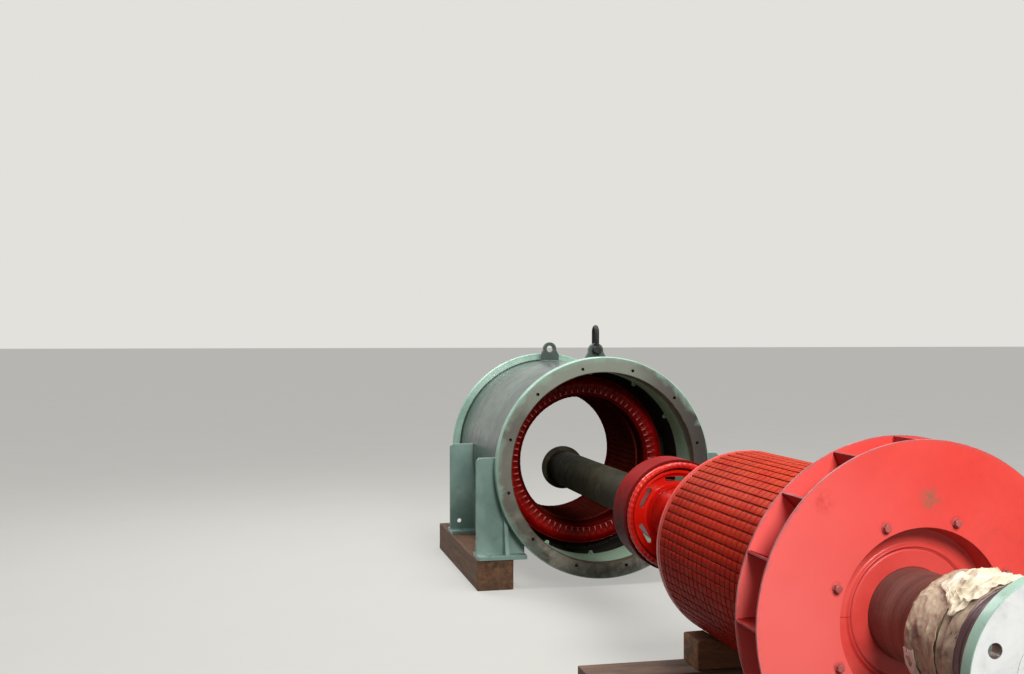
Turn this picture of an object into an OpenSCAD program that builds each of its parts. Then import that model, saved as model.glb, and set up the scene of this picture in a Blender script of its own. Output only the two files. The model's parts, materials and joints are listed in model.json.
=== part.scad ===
// Hydroelectric generator opened for overhaul: a flanged stator frame standing
// on timber sleepers, and its wound rotor drawn out along the shaft line and
// set down on two timber cradles. The end shields and bearings are off.
// X runs along the shaft towards the coupling and Z is up. Lengths along the
// shaft are counted backwards from the front disc of the fan, and depths in
// the stator backwards from its front face.

/* [Setting out] */
// Sideways place of the rotor axis from the stator's middle plane
rotor_axis_y = -75; // [-90:1:-20]
// Height of the stator axis above the floor
stator_axis_z = 703; // [700:1:730]
// Distance from the fan's front disc back to the stator's front face
draw_out = 3456; // [3380:2:3600]
// Clearance of pieces that are fitted into each other
fit_gap = 0.3; // [0.2:0.05:0.4]

/* [Coupling half] */
// Diameter of the coupling disc
coupling_d = 536; // [510:2:560]
// Thickness of the coupling disc
coupling_t = 39; // [32:1:46]
// Distance from the fan's front disc to the coupling's front face
coupling_reach = 617; // [605:1:640]
// Length of the coupling half with its hub
coupling_len = 212; // [195:1:214]
// Diameter of the neck behind the coupling disc, where the nuts sit
coupling_neck_d = 366; // [350:2:376]
// Length of the neck behind the coupling disc
coupling_neck_len = 52; // [44:1:60]
// Diameter of the ribbed collar between the neck and the journal
coupling_collar_d = 404; // [390:2:412]
// Number of grooves turned in the collar
collar_grooves = 4; // [2:1:6]
// Diameter of the bolt circle in the coupling disc
coupling_pcd = 426; // [420:1:440]
// Number of coupling bolt holes
coupling_holes = 8; // [6:1:10]
// Diameter of a coupling bolt hole
coupling_hole_d = 36; // [28:1:40]
// Depth of the shaft end inside the coupling face
spigot_depth = 4; // [2:1:8]

/* [Shaft] */
// Diameter of the shaft end inside the coupling half
shaft_end_d = 270; // [250:2:280]
// Diameter of the bearing journal
journal_d = 360; // [340:2:370]
// Length of the bearing journal
journal_len = 214; // [200:1:225]
// Thickness of the paper wrapped round the journal
wrap_t = 14; // [8:1:16]
// Diameter of the shaft between the journal and the rotor's rear end
shaft_d = 288; // [276:2:296]
// Diameter of the shaft behind the rotor
rear_shaft_d = 270; // [258:2:272]
// Distance from the fan's front disc to the rear end of the shaft
shaft_reach = 2290; // [2280:1:2330]

/* [Fan] */
// Diameter of the fan
fan_d = 1080; // [1020:4:1100]
// Depth of the fan over both of its discs
fan_depth = 154; // [140:1:164]
// Thickness of the fan's plates
fan_plate_t = 8; // [6:1:10]
// Number of fan blades
blade_count = 16; // [12:1:20]
// Diameter at the inner edges of the fan blades
blade_root_d = 690; // [680:2:740]
// Diameter of the eye in the rear disc
eye_d = 800; // [790:2:830]
// Diameter of the opening in the front disc round the hub
recess_d = 550; // [530:2:560]
// Depth of the hub's dished recess behind the front disc
recess_depth = 75; // [60:1:85]
// Outer diameter of the hub's bolting rim behind the front disc
hub_rim_d = 670; // [650:2:676]
// Thickness of the hub's rim, wall and floor
hub_wall = 14; // [10:1:18]
// Outer diameter of the hub's boss
hub_boss_d = 400; // [380:2:410]
// Length of the hub's boss
hub_boss_len = 118; // [100:1:120]

/* [Rotor body] */
// Diameter of the wound rotor body
core_d = 770; // [740:2:776]
// Distance from the fan's front disc to the front end of the rotor body
core_start = 190; // [188:1:200]
// Length of the rotor body with both end rings
core_len = 1098; // [1040:2:1120]
// Length of each smooth end ring
end_ring_len = 44; // [36:1:56]
// Bore of the rotor body
core_bore_d = 470; // [440:2:500]
// Number of rotor slots
rotor_slots = 70; // [56:1:76]
// Width of the opening of a rotor slot
rotor_slot_w = 9; // [6:0.5:11]
// Depth of a rotor slot's opening
rotor_slot_depth = 24; // [12:1:30]
// Outer diameter of the spider's tube on the shaft
spider_tube_d = 350; // [340:2:370]
// Number of spider arms
spider_arms = 6; // [4:1:8]
// Thickness of a spider arm
spider_arm_t = 30; // [20:1:36]

/* [Exciter] */
// Distance from the fan's front disc to the front face of the exciter core
exciter_start = 2055; // [2020:1:2060]
// Length of the exciter core
exciter_len = 170; // [150:1:180]
// Outer diameter of the exciter core
exciter_d = 532; // [510:2:544]
// Outer diameter of the wheel that carries the exciter core
exciter_wheel_d = 432; // [420:2:444]
// Thickness of the wheel's rim and web
exciter_wheel_t = 14; // [10:1:18]
// Diameter of the wheel's boss
exciter_boss_d = 310; // [300:2:316]
// Number of oblong holes in the web
web_slots = 6; // [4:1:7]
// Length of an oblong hole in the web
web_slot_len = 100; // [80:1:104]
// Width of an oblong hole in the web
web_slot_w = 22; // [18:1:26]
// Length of an exciter end winding
exciter_coil_len = 32; // [24:1:40]
// Outer diameter of an exciter end winding
exciter_coil_d = 512; // [500:2:516]
// Inner diameter of an exciter end winding
exciter_coil_bore = 452; // [446:2:466]
// Number of coil noses in an exciter end winding
exciter_coils = 60; // [48:1:72]

/* [Extension tube] */
// Distance from the fan's front disc to the rear end of the tube
tube_reach = 4150; // [4100:2:4200]
// Outer diameter of the tube
tube_d = 220; // [210:2:240]
// Wall of the tube
tube_wall = 16; // [12:1:20]
// Diameter of the flange against the shaft's end
tube_flange_d = 262; // [250:2:270]
// Thickness of the tube's flange and of its rear cap
tube_flange_t = 28; // [22:1:34]
// Diameter of the rear cap
tube_cap_d = 274; // [260:2:290]

/* [Stator frame] */
// Length of the stator frame over both flanges
frame_len = 1500; // [1460:2:1560]
// Outer diameter of the end flanges
flange_d = 1320; // [1300:2:1340]
// Inner diameter of the end flanges
flange_bore_d = 1130; // [1110:2:1144]
// Thickness of the end flanges
flange_t = 48; // [42:1:50]
// Diameter of the bolt circle in the end flanges
flange_pcd = 1200; // [1186:1:1220]
// Number of tapped holes in each flange
flange_holes = 12; // [8:1:16]
// Diameter of a tapped hole
flange_hole_d = 20; // [14:1:22]
// Depth of a tapped hole
flange_hole_depth = 34; // [26:1:36]
// Outer diameter of the frame's shell
shell_d = 1220; // [1200:2:1230]
// Thickness of the frame's shell
shell_t = 20; // [14:1:24]
// Depth of the air guide ring inside the front chamber
guide_len = 248; // [220:2:300]
// Thickness of the air guide ring
guide_t = 8; // [6:1:10]
// Number of lugs on the air guide ring
guide_lugs = 12; // [8:1:16]

/* [Stator core and winding] */
// Bore of the stator core
bore_d = 783; // [778:1:790]
// Outer diameter of the stator core
stator_core_d = 1090; // [1076:2:1110]
// Depth of the stator core behind the front face
stator_core_start = 590; // [570:2:620]
// Length of the stator core
stator_core_len = 550; // [500:2:600]
// Number of stator slots
stator_slots = 72; // [60:1:90]
// Width of a stator slot's opening
stator_slot_w = 14; // [10:1:16]
// Depth of a stator slot's opening
stator_slot_depth = 12; // [8:1:16]
// Thickness of the rings that hold the stator core
core_ring_t = 26; // [20:1:34]
// Length of a stator end winding
winding_len = 142; // [120:1:150]
// Outer diameter of a stator end winding
winding_d = 1062; // [1040:2:1066]
// Inner diameter of a stator end winding
winding_bore_d = 806; // [800:1:830]
// Width of the gap between two coil noses
coil_gap_w = 7; // [5:0.5:9]
// Depth of the gap between two coil noses
coil_gap_depth = 16; // [10:1:20]

/* [Feet and lifting lugs] */
// Depth of the front feet behind the front face
foot_front = 86; // [84:1:120]
// Depth of the rear feet behind the front face
foot_rear = 1016; // [980:2:1080]
// Width over the feet
foot_span = 1520; // [1500:4:1560]
// Width of a foot's upright plate and base plate
foot_w = 290; // [270:2:310]
// Height of a foot's top above the stator axis
foot_top = 65; // [40:1:90]
// Thickness of a foot's plates
foot_t = 24; // [18:1:28]
// Length of a foot's base plate along the shaft
foot_len = 180; // [160:2:184]
// Height of a foot's gusset above its base plate
gusset_h = 260; // [220:2:290]
// Distance of the gusset from the foot's outer edge
gusset_inset = 160; // [140:2:170]
// Distance of a hold-down hole from the foot's outer edge
foot_hole_inset = 70; // [60:1:80]
// Diameter of a hold-down hole
foot_hole_d = 34; // [26:1:38]
// Diameter of the jacking hole in a rear foot
jack_hole_d = 28; // [20:1:32]
// Depth of the lifting lugs behind the front face and before the rear face
lug_inset = 190; // [150:2:220]
// Diameter of the hole in a lifting lug
lug_hole_d = 46; // [40:1:50]
// Thickness of a lifting lug
lug_t = 30; // [24:1:34]
// Thickness of the shackle's bow
shackle_bar_d = 26; // [20:1:28]

/* [Timbers] */
// Height of the sleepers under the feet
sleeper_h = 177; // [170:1:190]
// Width of a sleeper
sleeper_w = 220; // [200:2:240]
// Length of a sleeper
sleeper_len = 1400; // [1360:4:1430]
// Height of the cross timbers of the cradles
beam_h = 200; // [180:1:210]
// Width of the cross timbers of the cradles
beam_w = 200; // [180:2:220]
// Length of the cross timbers of the cradles
beam_len = 1610; // [1600:2:1660]
// Length of the saddle blocks across the rotor
saddle_len = 600; // [540:2:640]
// Width of a saddle block along the rotor
saddle_w = 160; // [140:2:170]
// Height of a saddle block's ends above its seat on the cross timber
saddle_h = 114; // [100:1:130]
// Thickness of a saddle block under the rotor body
saddle_web = 48; // [40:1:56]
// Distance from the fan's front disc to the middle of the front cradle
cradle_front = 330; // [320:2:360]
// Distance from the fan's front disc to the middle of the rear cradle
cradle_rear = 1130; // [1080:2:1160]

/* [Hidden] */
$fn = 96;
eps = 1;
overall_len = coupling_reach + draw_out + frame_len;
fan_x = draw_out + frame_len - overall_len / 2;
blade_turn = -1;
fan_r = fan_d / 2;
rotor_axis_z = beam_h + saddle_web + fit_gap + core_d / 2;
coupling_hole_turn = 22.5;
slot_turn = 0.5;
collar_start = coupling_t + coupling_neck_len;
collar_groove_w = 8;
collar_groove_depth = 5;
seam_w = 3;
seam_depth = 3;
boss_proud = 6;
dish_slope = 10;
edge_round = 10;
core_end = core_start + core_len;
exciter_end = exciter_start + exciter_len;
web_z = 34;
web_pitch_r = (exciter_boss_d + web_slot_w) / 2 + 4;
nose_gap_w = 5;
nose_gap_depth = 6;
shell_r = shell_d / 2;
shell_bore_r = shell_r - shell_t;
flange_hole_turn = 17;
guide_start = flange_t + fit_gap;
guide_lug_w = 26;
guide_lug_h = 24;
stator_core_end = stator_core_start + stator_core_len;
foot_floor = sleeper_h;
foot_inner = foot_span / 2 - foot_w;
gusset_top_w = 48;
foot_chamfer = 18;
jack_hole_inset = 62;
jack_hole_rise = 80;
lug_w = 130;
lug_hole_rise = flange_d / 2 - shell_r + lug_hole_d / 2 + 16;
shackle_gap = 5;
shackle_h = 108;
shackle_ear_d = 52;
sleeper_start = 20;
sleeper_y = foot_span / 2 + 8 - sleeper_w / 2;
saddle_seat_r = core_d / 2 + fit_gap;

// Local Z runs backwards along the rotor axis, and local X points up
module on_rotor(back = 0) {
    translate([fan_x - back, rotor_axis_y, rotor_axis_z]) rotate([0, -90, 0]) children();
}

// Local Z runs backwards along the stator axis, and local X points up
module on_stator(depth = 0) {
    translate([fan_x - draw_out - depth, 0, stator_axis_z]) rotate([0, -90, 0]) children();
}

// The children turned into a ring of equal steps, starting at one angle
module ring_of(count, start = 0) {
    for (i = [0 : count - 1]) rotate([0, 0, start + i * 360 / count]) children();
}

// Plain ring or disc, standing on its front face
module ring(outer_d, inner_d, len) {
    difference() {
        cylinder(d = outer_d, h = len);
        if (inner_d > 0) translate([0, 0, -eps]) cylinder(d = inner_d, h = len + 2 * eps);
    }
}

// Ring with rounded outer corners at its front and rear ends
module rounded_ring(outer_d, inner_d, len, front_r, rear_r) {
    steps = 4;
    front = [for (i = [0 : steps]) let (a = i * 90 / steps)
        [outer_d / 2 - front_r + front_r * sin(a), front_r - front_r * cos(a)]];
    rear = [for (i = [0 : steps]) let (a = i * 90 / steps)
        [outer_d / 2 - rear_r + rear_r * cos(a), len - rear_r + rear_r * sin(a)]];
    rotate_extrude() polygon(concat([[inner_d / 2, 0]], front, rear, [[inner_d / 2, len]]));
}

// Coupling disc, neck and ribbed collar, bored for the shaft end
module coupling_half() {
    groove_pitch = (coupling_len - collar_start) / (collar_grooves + 1);
    groove_floor_d = coupling_collar_d - 2 * collar_groove_depth;
    color("gainsboro") on_rotor(-coupling_reach) difference() {
        union() {
            cylinder(d = coupling_d, h = coupling_t);
            cylinder(d = coupling_neck_d, h = coupling_len);
            translate([0, 0, collar_start])
                cylinder(d = coupling_collar_d, h = coupling_len - collar_start);
        }
        for (i = [1 : collar_grooves])
            translate([0, 0, collar_start + i * groove_pitch - collar_groove_w / 2])
                ring(coupling_collar_d + 2 * eps, groove_floor_d, collar_groove_w);
        translate([0, 0, -eps]) cylinder(d = shaft_end_d + 2 * fit_gap, h = coupling_len + 2 * eps);
        ring_of(coupling_holes, coupling_hole_turn) translate([coupling_pcd / 2, 0, -eps])
            cylinder(d = coupling_hole_d, h = coupling_t + 2 * eps);
    }
}

// Shaft end, bearing journal, main length and rear length, all turned from one piece
module shaft() {
    end_front = -coupling_reach + spigot_depth;
    journal_front = -coupling_reach + coupling_len + fit_gap;
    journal_rear = journal_front + journal_len;
    color("saddlebrown") on_rotor() rotate_extrude() polygon([
        [0, end_front],
        [shaft_end_d / 2, end_front],
        [shaft_end_d / 2, journal_front],
        [journal_d / 2, journal_front],
        [journal_d / 2, journal_rear],
        [shaft_d / 2, journal_rear],
        [shaft_d / 2, core_end],
        [rear_shaft_d / 2, core_end],
        [rear_shaft_d / 2, shaft_reach],
        [0, shaft_reach]
    ]);
}

// Sleeve of protective paper on the journal
module journal_wrap() {
    start = -coupling_reach + coupling_len + 2 * fit_gap;
    color("wheat") on_rotor(start)
        ring(journal_d + 2 * fit_gap + 2 * wrap_t, journal_d + 2 * fit_gap, journal_len - fit_gap);
}

// Front disc of the fan, an annular plate
module fan_front_disc() {
    color("salmon") on_rotor() ring(fan_d, recess_d, fan_plate_t);
}

// Rear disc of the fan, with the eye that the air enters by
module fan_rear_disc() {
    color("salmon") on_rotor(fan_depth - fan_plate_t) ring(fan_d, eye_d, fan_plate_t);
}

// Flat radial blades standing between the two discs
module fan_blades() {
    blade_len = fan_depth - 2 * fan_plate_t;
    color("indianred") on_rotor(fan_plate_t) ring_of(blade_count, blade_turn)
        translate([blade_root_d / 2, -fan_plate_t / 2, 0])
            cube([fan_r - blade_root_d / 2 - 1, fan_plate_t, blade_len]);
}

// Dished hub casting: bolting rim, recess wall, floor and bored boss, cast in two halves
module fan_hub() {
    wall_r = recess_d / 2;
    floor_r = wall_r - dish_slope;
    boss_front = recess_depth - boss_proud;
    floor_back = recess_depth + hub_wall;
    color("crimson") on_rotor() difference() {
        rotate_extrude() polygon([
            [shaft_d / 2 + fit_gap, boss_front],
            [hub_boss_d / 2 - 4, boss_front],
            [hub_boss_d / 2, boss_front + 4],
            [hub_boss_d / 2, recess_depth],
            [floor_r, recess_depth],
            [wall_r, fan_plate_t],
            [hub_rim_d / 2, fan_plate_t],
            [hub_rim_d / 2, fan_plate_t + hub_wall],
            [wall_r + hub_wall, fan_plate_t + hub_wall],
            [floor_r + hub_wall, floor_back],
            [hub_boss_d / 2 + hub_wall, floor_back],
            [hub_boss_d / 2, floor_back + hub_wall],
            [hub_boss_d / 2, boss_front + hub_boss_len],
            [shaft_d / 2 + fit_gap, boss_front + hub_boss_len]
        ]);
        for (seam_y = [hub_boss_d / 2, -floor_r])
            translate([-seam_w / 2, seam_y, recess_depth - seam_depth])
                cube([seam_w, floor_r - hub_boss_d / 2, seam_depth + boss_proud + eps]);
    }
}

// Tube on the shaft with radial arms that carry the rotor core
module rotor_spider() {
    color("firebrick") on_rotor(core_start + fit_gap) {
        difference() {
            union() {
                cylinder(d = spider_tube_d, h = core_len - 2 * fit_gap);
                ring_of(spider_arms) translate([0, -spider_arm_t / 2, 0])
                    cube([core_bore_d / 2 - fit_gap - 0.6, spider_arm_t, core_len - 2 * fit_gap]);
            }
            translate([0, 0, -eps]) cylinder(d = shaft_d + 2 * fit_gap, h = core_len + 2 * eps);
        }
    }
}

// Slotted length of the rotor body between its end rings
module rotor_core() {
    len = core_len - 2 * end_ring_len;
    color("firebrick") on_rotor(core_start + end_ring_len) difference() {
        ring(core_d, core_bore_d, len);
        ring_of(rotor_slots, slot_turn) translate([core_d / 2 - rotor_slot_depth, -rotor_slot_w / 2, -eps])
            cube([rotor_slot_depth + eps, rotor_slot_w, len + 2 * eps]);
    }
}

// Smooth rings that close the rotor body at both ends
module rotor_front_ring() {
    color("red") on_rotor(core_start)
        rounded_ring(core_d, core_bore_d, end_ring_len, edge_round, 2);
}

module rotor_rear_ring() {
    color("red") on_rotor(core_end - end_ring_len)
        rounded_ring(core_d, core_bore_d, end_ring_len, 2, edge_round);
}

// One oblong hole through the exciter's web, its long way round the wheel
module web_slot() {
    straight = web_slot_len - web_slot_w;
    translate([web_pitch_r, 0, web_z - eps]) {
        translate([-web_slot_w / 2, -straight / 2, 0])
            cube([web_slot_w, straight, exciter_wheel_t + 2 * eps]);
        for (side = [-1, 1]) translate([0, side * straight / 2, 0])
            cylinder(d = web_slot_w, h = exciter_wheel_t + 2 * eps);
    }
}

// Exciter wheel: boss on the shaft, pierced web and rim
module exciter_wheel() {
    color("red") on_rotor(exciter_start) difference() {
        union() {
            cylinder(d = exciter_boss_d, h = exciter_len);
            translate([0, 0, web_z]) cylinder(d = exciter_wheel_d, h = exciter_wheel_t);
            ring(exciter_wheel_d, exciter_wheel_d - 2 * exciter_wheel_t, exciter_len);
        }
        translate([0, 0, -eps]) cylinder(d = rear_shaft_d + 2 * fit_gap, h = exciter_len + 2 * eps);
        ring_of(web_slots) web_slot();
    }
}

// Laminated ring of the exciter
module exciter_core() {
    color("darkred") on_rotor(exciter_start)
        ring(exciter_d, exciter_wheel_d + 2 * fit_gap, exciter_len);
}

// End winding of the exciter, parted into coil noses on its free end
module exciter_coils(front) {
    len = exciter_coil_len;
    free_end = front ? -eps : len - nose_gap_depth;
    difference() {
        rounded_ring(exciter_coil_d, exciter_coil_bore, len, front ? 8 : 2, front ? 2 : 8);
        ring_of(exciter_coils) translate([exciter_coil_bore / 2 - eps, -nose_gap_w / 2, free_end])
            cube([(exciter_coil_d - exciter_coil_bore) / 2 + 2 * eps, nose_gap_w, nose_gap_depth + eps]);
    }
}

module exciter_front_coils() {
    color("red") on_rotor(exciter_start - fit_gap - exciter_coil_len) exciter_coils(true);
}

module exciter_rear_coils() {
    color("red") on_rotor(exciter_end + fit_gap) exciter_coils(false);
}

// Pipe bolted to the rear end of the shaft, by which the rotor is drawn out
module extension_tube() {
    start = shaft_reach + fit_gap;
    color("dimgray") on_rotor(start) {
        ring(tube_flange_d, 0, tube_flange_t);
        ring(tube_d, tube_d - 2 * tube_wall, tube_reach - tube_flange_t - start);
    }
}

// Plate that closes the rear end of the pipe
module tube_cap() {
    color("dimgray") on_rotor(tube_reach - tube_flange_t + fit_gap)
        rounded_ring(tube_cap_d, 0, tube_flange_t, 2, 4);
}

// Rolled shell of the stator frame
module frame_shell() {
    color("darkslategray") on_stator(flange_t)
        ring(shell_d, 2 * shell_bore_r, frame_len - 2 * flange_t);
}

// Machined end flange with blind tapped holes in its outer face
module end_flange() {
    difference() {
        ring(flange_d, flange_bore_d, flange_t);
        ring_of(flange_holes, flange_hole_turn) translate([flange_pcd / 2, 0, -eps])
            cylinder(d = flange_hole_d, h = flange_hole_depth + eps);
    }
}

module front_flange() {
    color("lightgray") on_stator() end_flange();
}

module rear_flange() {
    color("lightgray") on_stator(frame_len) mirror([0, 0, 1]) end_flange();
}

// Air guide ring in the front chamber, with lugs standing in from its inner edge
module air_guide_ring() {
    guide_r = flange_bore_d / 2 + guide_t;
    color("darkseagreen") on_stator(guide_start) {
        ring(2 * guide_r, 2 * (guide_r - guide_t), guide_len);
        ring_of(guide_lugs)
            translate([guide_r - guide_t / 2 - guide_lug_h, -guide_lug_w / 2, guide_len - guide_t])
                cube([guide_lug_h, guide_lug_w, guide_t]);
    }
}

// Ring plate that ties the stator core to the shell
module core_ring() {
    ring(2 * (shell_bore_r - fit_gap), stator_core_d + 2 * fit_gap, core_ring_t);
}

module front_core_ring() {
    color("darkslategray") on_stator(stator_core_start) core_ring();
}

module rear_core_ring() {
    color("darkslategray") on_stator(stator_core_end - core_ring_t) core_ring();
}

// Laminated stator core with its slot openings along the bore
module stator_core() {
    color("maroon") on_stator(stator_core_start) difference() {
        ring(stator_core_d, bore_d, stator_core_len);
        ring_of(stator_slots) translate([bore_d / 2 - eps, -stator_slot_w / 2, -eps])
            cube([stator_slot_depth + eps, stator_slot_w, stator_core_len + 2 * eps]);
    }
}

// End winding seen from its free end, flared and parted into coil noses
module end_winding() {
    outer = winding_d / 2;
    inner = winding_bore_d / 2;
    depth = winding_len - fit_gap;
    difference() {
        rotate_extrude() polygon([
            [inner, 14],
            [inner + 14, 0],
            [outer - 34, 0],
            [outer - 8, 22],
            [outer, 52],
            [outer - 22, depth],
            [inner, depth]
        ]);
        ring_of(stator_slots, 180 / stator_slots) translate([(inner + outer) / 2, -coil_gap_w / 2, -eps])
            cube([outer - inner, coil_gap_w, coil_gap_depth + eps]);
    }
}

module front_winding() {
    color("red") on_stator(stator_core_start - winding_len) end_winding();
}

module rear_winding() {
    color("red") on_stator(stator_core_end + winding_len) mirror([0, 0, 1]) end_winding();
}

// Foot on the right side: upright plate fitted to the shell, base plate and gusset
module foot(jack_hole) {
    edge = foot_span / 2;
    top = stator_axis_z + foot_top;
    plate_floor = foot_floor + foot_t - eps;
    color("darkseagreen") difference() {
        union() {
            translate([-foot_t / 2, 0, 0]) rotate([90, 0, 90]) linear_extrude(foot_t) polygon([
                [foot_inner, plate_floor],
                [edge, plate_floor],
                [edge, top - foot_chamfer],
                [edge - foot_chamfer, top],
                [foot_inner, top]
            ]);
            translate([-foot_len / 2, foot_inner, foot_floor]) cube([foot_len, foot_w, foot_t]);
            translate([-foot_len / 2, edge - gusset_inset, plate_floor])
                rotate([90, 0, 0]) linear_extrude(foot_t) polygon([
                    [0, 0],
                    [foot_len, 0],
                    [(foot_len + gusset_top_w) / 2, gusset_h],
                    [(foot_len - gusset_top_w) / 2, gusset_h]
                ]);
        }
        translate([-foot_len, 0, stator_axis_z]) rotate([0, 90, 0])
            cylinder(r = shell_r + fit_gap, h = 2 * foot_len);
        for (side = [-1, 1])
            translate([side * (foot_len / 2 - foot_t * 2), edge - foot_hole_inset, foot_floor - eps])
                cylinder(d = foot_hole_d, h = foot_t + 2 * eps);
        if (jack_hole) translate([-foot_t, edge - jack_hole_inset, foot_floor + jack_hole_rise])
            rotate([0, 90, 0]) cylinder(d = jack_hole_d, h = 2 * foot_t);
    }
}

module place_foot(depth, side, jack_hole) {
    translate([fan_x - draw_out - depth, 0, 0]) mirror([0, side > 0 ? 0 : 1, 0]) foot(jack_hole);
}

module front_foot_left() place_foot(foot_front + foot_t / 2, -1, false);

module front_foot_right() place_foot(foot_front + foot_t / 2, 1, false);

module rear_foot_left() place_foot(foot_rear, -1, true);

module rear_foot_right() place_foot(foot_rear, 1, true);

// Lifting lug standing on the crown of the shell, pierced along the shaft
module lifting_lug(depth) {
    seat = shell_r - 6;
    color("darkslategray") on_stator(depth) difference() {
        translate([seat, 0, -lug_t / 2]) union() {
            translate([0, -lug_w / 2, 0]) cube([lug_hole_rise, lug_w, lug_t]);
            translate([lug_hole_rise, 0, 0]) cylinder(d = lug_w * 0.72, h = lug_t);
        }
        translate([0, 0, -lug_t]) cylinder(r = shell_r + fit_gap, h = 2 * lug_t);
        translate([seat + lug_hole_rise, 0, -lug_t]) cylinder(d = lug_hole_d, h = 2 * lug_t);
    }
}

module front_lifting_lug() lifting_lug(lug_inset);

module rear_lifting_lug() lifting_lug(frame_len - lug_inset);

// Bow shackle with its pin through the front lifting lug
module lifting_shackle() {
    half = lug_t / 2 + shackle_gap + shackle_bar_d / 2;
    pin_x = shell_r - 6 + lug_hole_rise;
    pin_d = lug_hole_d - 8;
    color("dimgray") on_stator(lug_inset) translate([pin_x + (lug_hole_d - pin_d) / 2 - fit_gap, 0, 0]) {
        translate([0, 0, -half - shackle_bar_d]) cylinder(d = pin_d, h = 2 * (half + shackle_bar_d));
        for (side = [-1, 1]) translate([0, 0, side * half]) {
            translate([0, 0, -shackle_bar_d / 2]) cylinder(d = shackle_ear_d, h = shackle_bar_d);
            rotate([0, 90, 0]) cylinder(d = shackle_bar_d, h = shackle_h);
        }
        translate([shackle_h, 0, 0]) rotate([90, 0, 0]) rotate([0, 0, -90])
            rotate_extrude(angle = 180) translate([half, 0]) circle(d = shackle_bar_d);
    }
}

// Sleeper that runs under the feet of one side
module sleeper(side) {
    color("peru") translate([
        fan_x - draw_out - sleeper_start - sleeper_len,
        side * sleeper_y - sleeper_w / 2,
        0
    ]) cube([sleeper_len, sleeper_w, sleeper_h]);
}

module sleeper_left() sleeper(-1);

module sleeper_right() sleeper(1);

// Timber laid across the floor under the rotor
module cross_timber(back) {
    color("peru") translate([fan_x - back - beam_w / 2, -beam_len / 2, 0])
        cube([beam_w, beam_len, beam_h]);
}

module front_cross_timber() cross_timber(cradle_front);

module rear_cross_timber() cross_timber(cradle_rear);

// Timber block on a cross timber, hollowed to the round of the rotor body
module saddle(back) {
    color("sienna") difference() {
        translate([fan_x - back - saddle_w / 2, rotor_axis_y - saddle_len / 2, beam_h])
            cube([saddle_w, saddle_len, saddle_h]);
        on_rotor(back - saddle_w) cylinder(r = saddle_seat_r, h = 2 * saddle_w);
    }
}

module front_saddle() saddle(cradle_front);

module rear_saddle() saddle(cradle_rear);

coupling_half();
shaft();
journal_wrap();
fan_front_disc();
fan_rear_disc();
fan_blades();
fan_hub();
rotor_spider();
rotor_core();
rotor_front_ring();
rotor_rear_ring();
exciter_wheel();
exciter_core();
exciter_front_coils();
exciter_rear_coils();
extension_tube();
tube_cap();
frame_shell();
front_flange();
rear_flange();
air_guide_ring();
front_core_ring();
rear_core_ring();
stator_core();
front_winding();
rear_winding();
front_foot_left();
front_foot_right();
rear_foot_left();
rear_foot_right();
front_lifting_lug();
rear_lifting_lug();
lifting_shackle();
sleeper_left();
sleeper_right();
front_cross_timber();
rear_cross_timber();
front_saddle();
rear_saddle();
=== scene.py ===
"""Hydroelectric generator opened for overhaul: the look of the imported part.

The stator frame stands on sleepers and the wound rotor lies drawn out of it on
two timber cradles. Everything is in metres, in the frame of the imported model.
Lengths along the shaft (s) are counted backwards from the fan's front disc, and
in the stator inwards from one of its two faces. Angles run from +Y towards +Z.
"""

import json
import math
import random
from functools import reduce
from itertools import cycle
from math import cos, pi, sin

import bpy
import bmesh
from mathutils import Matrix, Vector, noise
from mathutils.geometry import delaunay_2d_cdt


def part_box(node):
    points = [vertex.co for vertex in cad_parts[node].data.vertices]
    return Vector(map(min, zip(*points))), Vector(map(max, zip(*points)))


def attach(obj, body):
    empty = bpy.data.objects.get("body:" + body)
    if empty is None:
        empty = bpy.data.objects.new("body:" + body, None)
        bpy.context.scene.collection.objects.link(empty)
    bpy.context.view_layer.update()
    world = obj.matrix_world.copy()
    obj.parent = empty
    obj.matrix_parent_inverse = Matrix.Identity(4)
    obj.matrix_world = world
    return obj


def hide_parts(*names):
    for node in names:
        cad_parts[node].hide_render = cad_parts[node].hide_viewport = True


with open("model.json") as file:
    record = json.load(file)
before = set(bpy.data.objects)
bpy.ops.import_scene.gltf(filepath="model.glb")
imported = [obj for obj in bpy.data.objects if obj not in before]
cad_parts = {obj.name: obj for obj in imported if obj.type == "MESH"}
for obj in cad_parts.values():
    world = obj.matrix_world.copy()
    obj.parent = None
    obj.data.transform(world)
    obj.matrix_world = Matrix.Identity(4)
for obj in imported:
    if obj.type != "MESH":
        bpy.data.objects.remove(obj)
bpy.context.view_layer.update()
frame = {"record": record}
record = frame["record"]
BODY_OF = {node: body for body, nodes in record["behaviour"]["bodies"].items() for node in nodes}
TAU = 2 * pi
FRONT = Vector((1.0, 0.0, 0.0))
BACK = Vector((-1.0, 0.0, 0.0))
rad = math.radians
scene = bpy.context.scene

# The wear of the timbers comes from noise_vector, which starts from the clock where it has no seed.
noise.seed_set(7)


# Placement

class Axis:
    """A line along the shaft: s runs backwards from its start, or forwards where step is -1."""

    def __init__(self, x, y, z, step=1):
        self.x, self.y, self.z, self.step = x, y, z, step

    def __call__(self, s, r, a):
        return Vector((self.x - self.step * s, self.y + r * cos(a), self.z + r * sin(a)))


def axis_of(node):
    """The axis through a round node, starting at its front."""
    low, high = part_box(node)
    return Axis(high.x, (low.y + high.y) / 2, (low.z + high.z) / 2)


def stretch(axis, node):
    """Where a node starts and ends along an axis."""
    low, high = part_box(node)
    return axis.x - high.x, axis.x - low.x


def place(axis, angle=0.0, s=0.0):
    """Function from (radial, tangential, along) to a point, at one angle of an axis."""
    ca, sa = cos(angle), sin(angle)

    def at(u, v, w):
        return Vector((axis.x - axis.step * (s + w), axis.y + u * ca - v * sa, axis.z + u * sa + v * ca))
    return at


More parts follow.
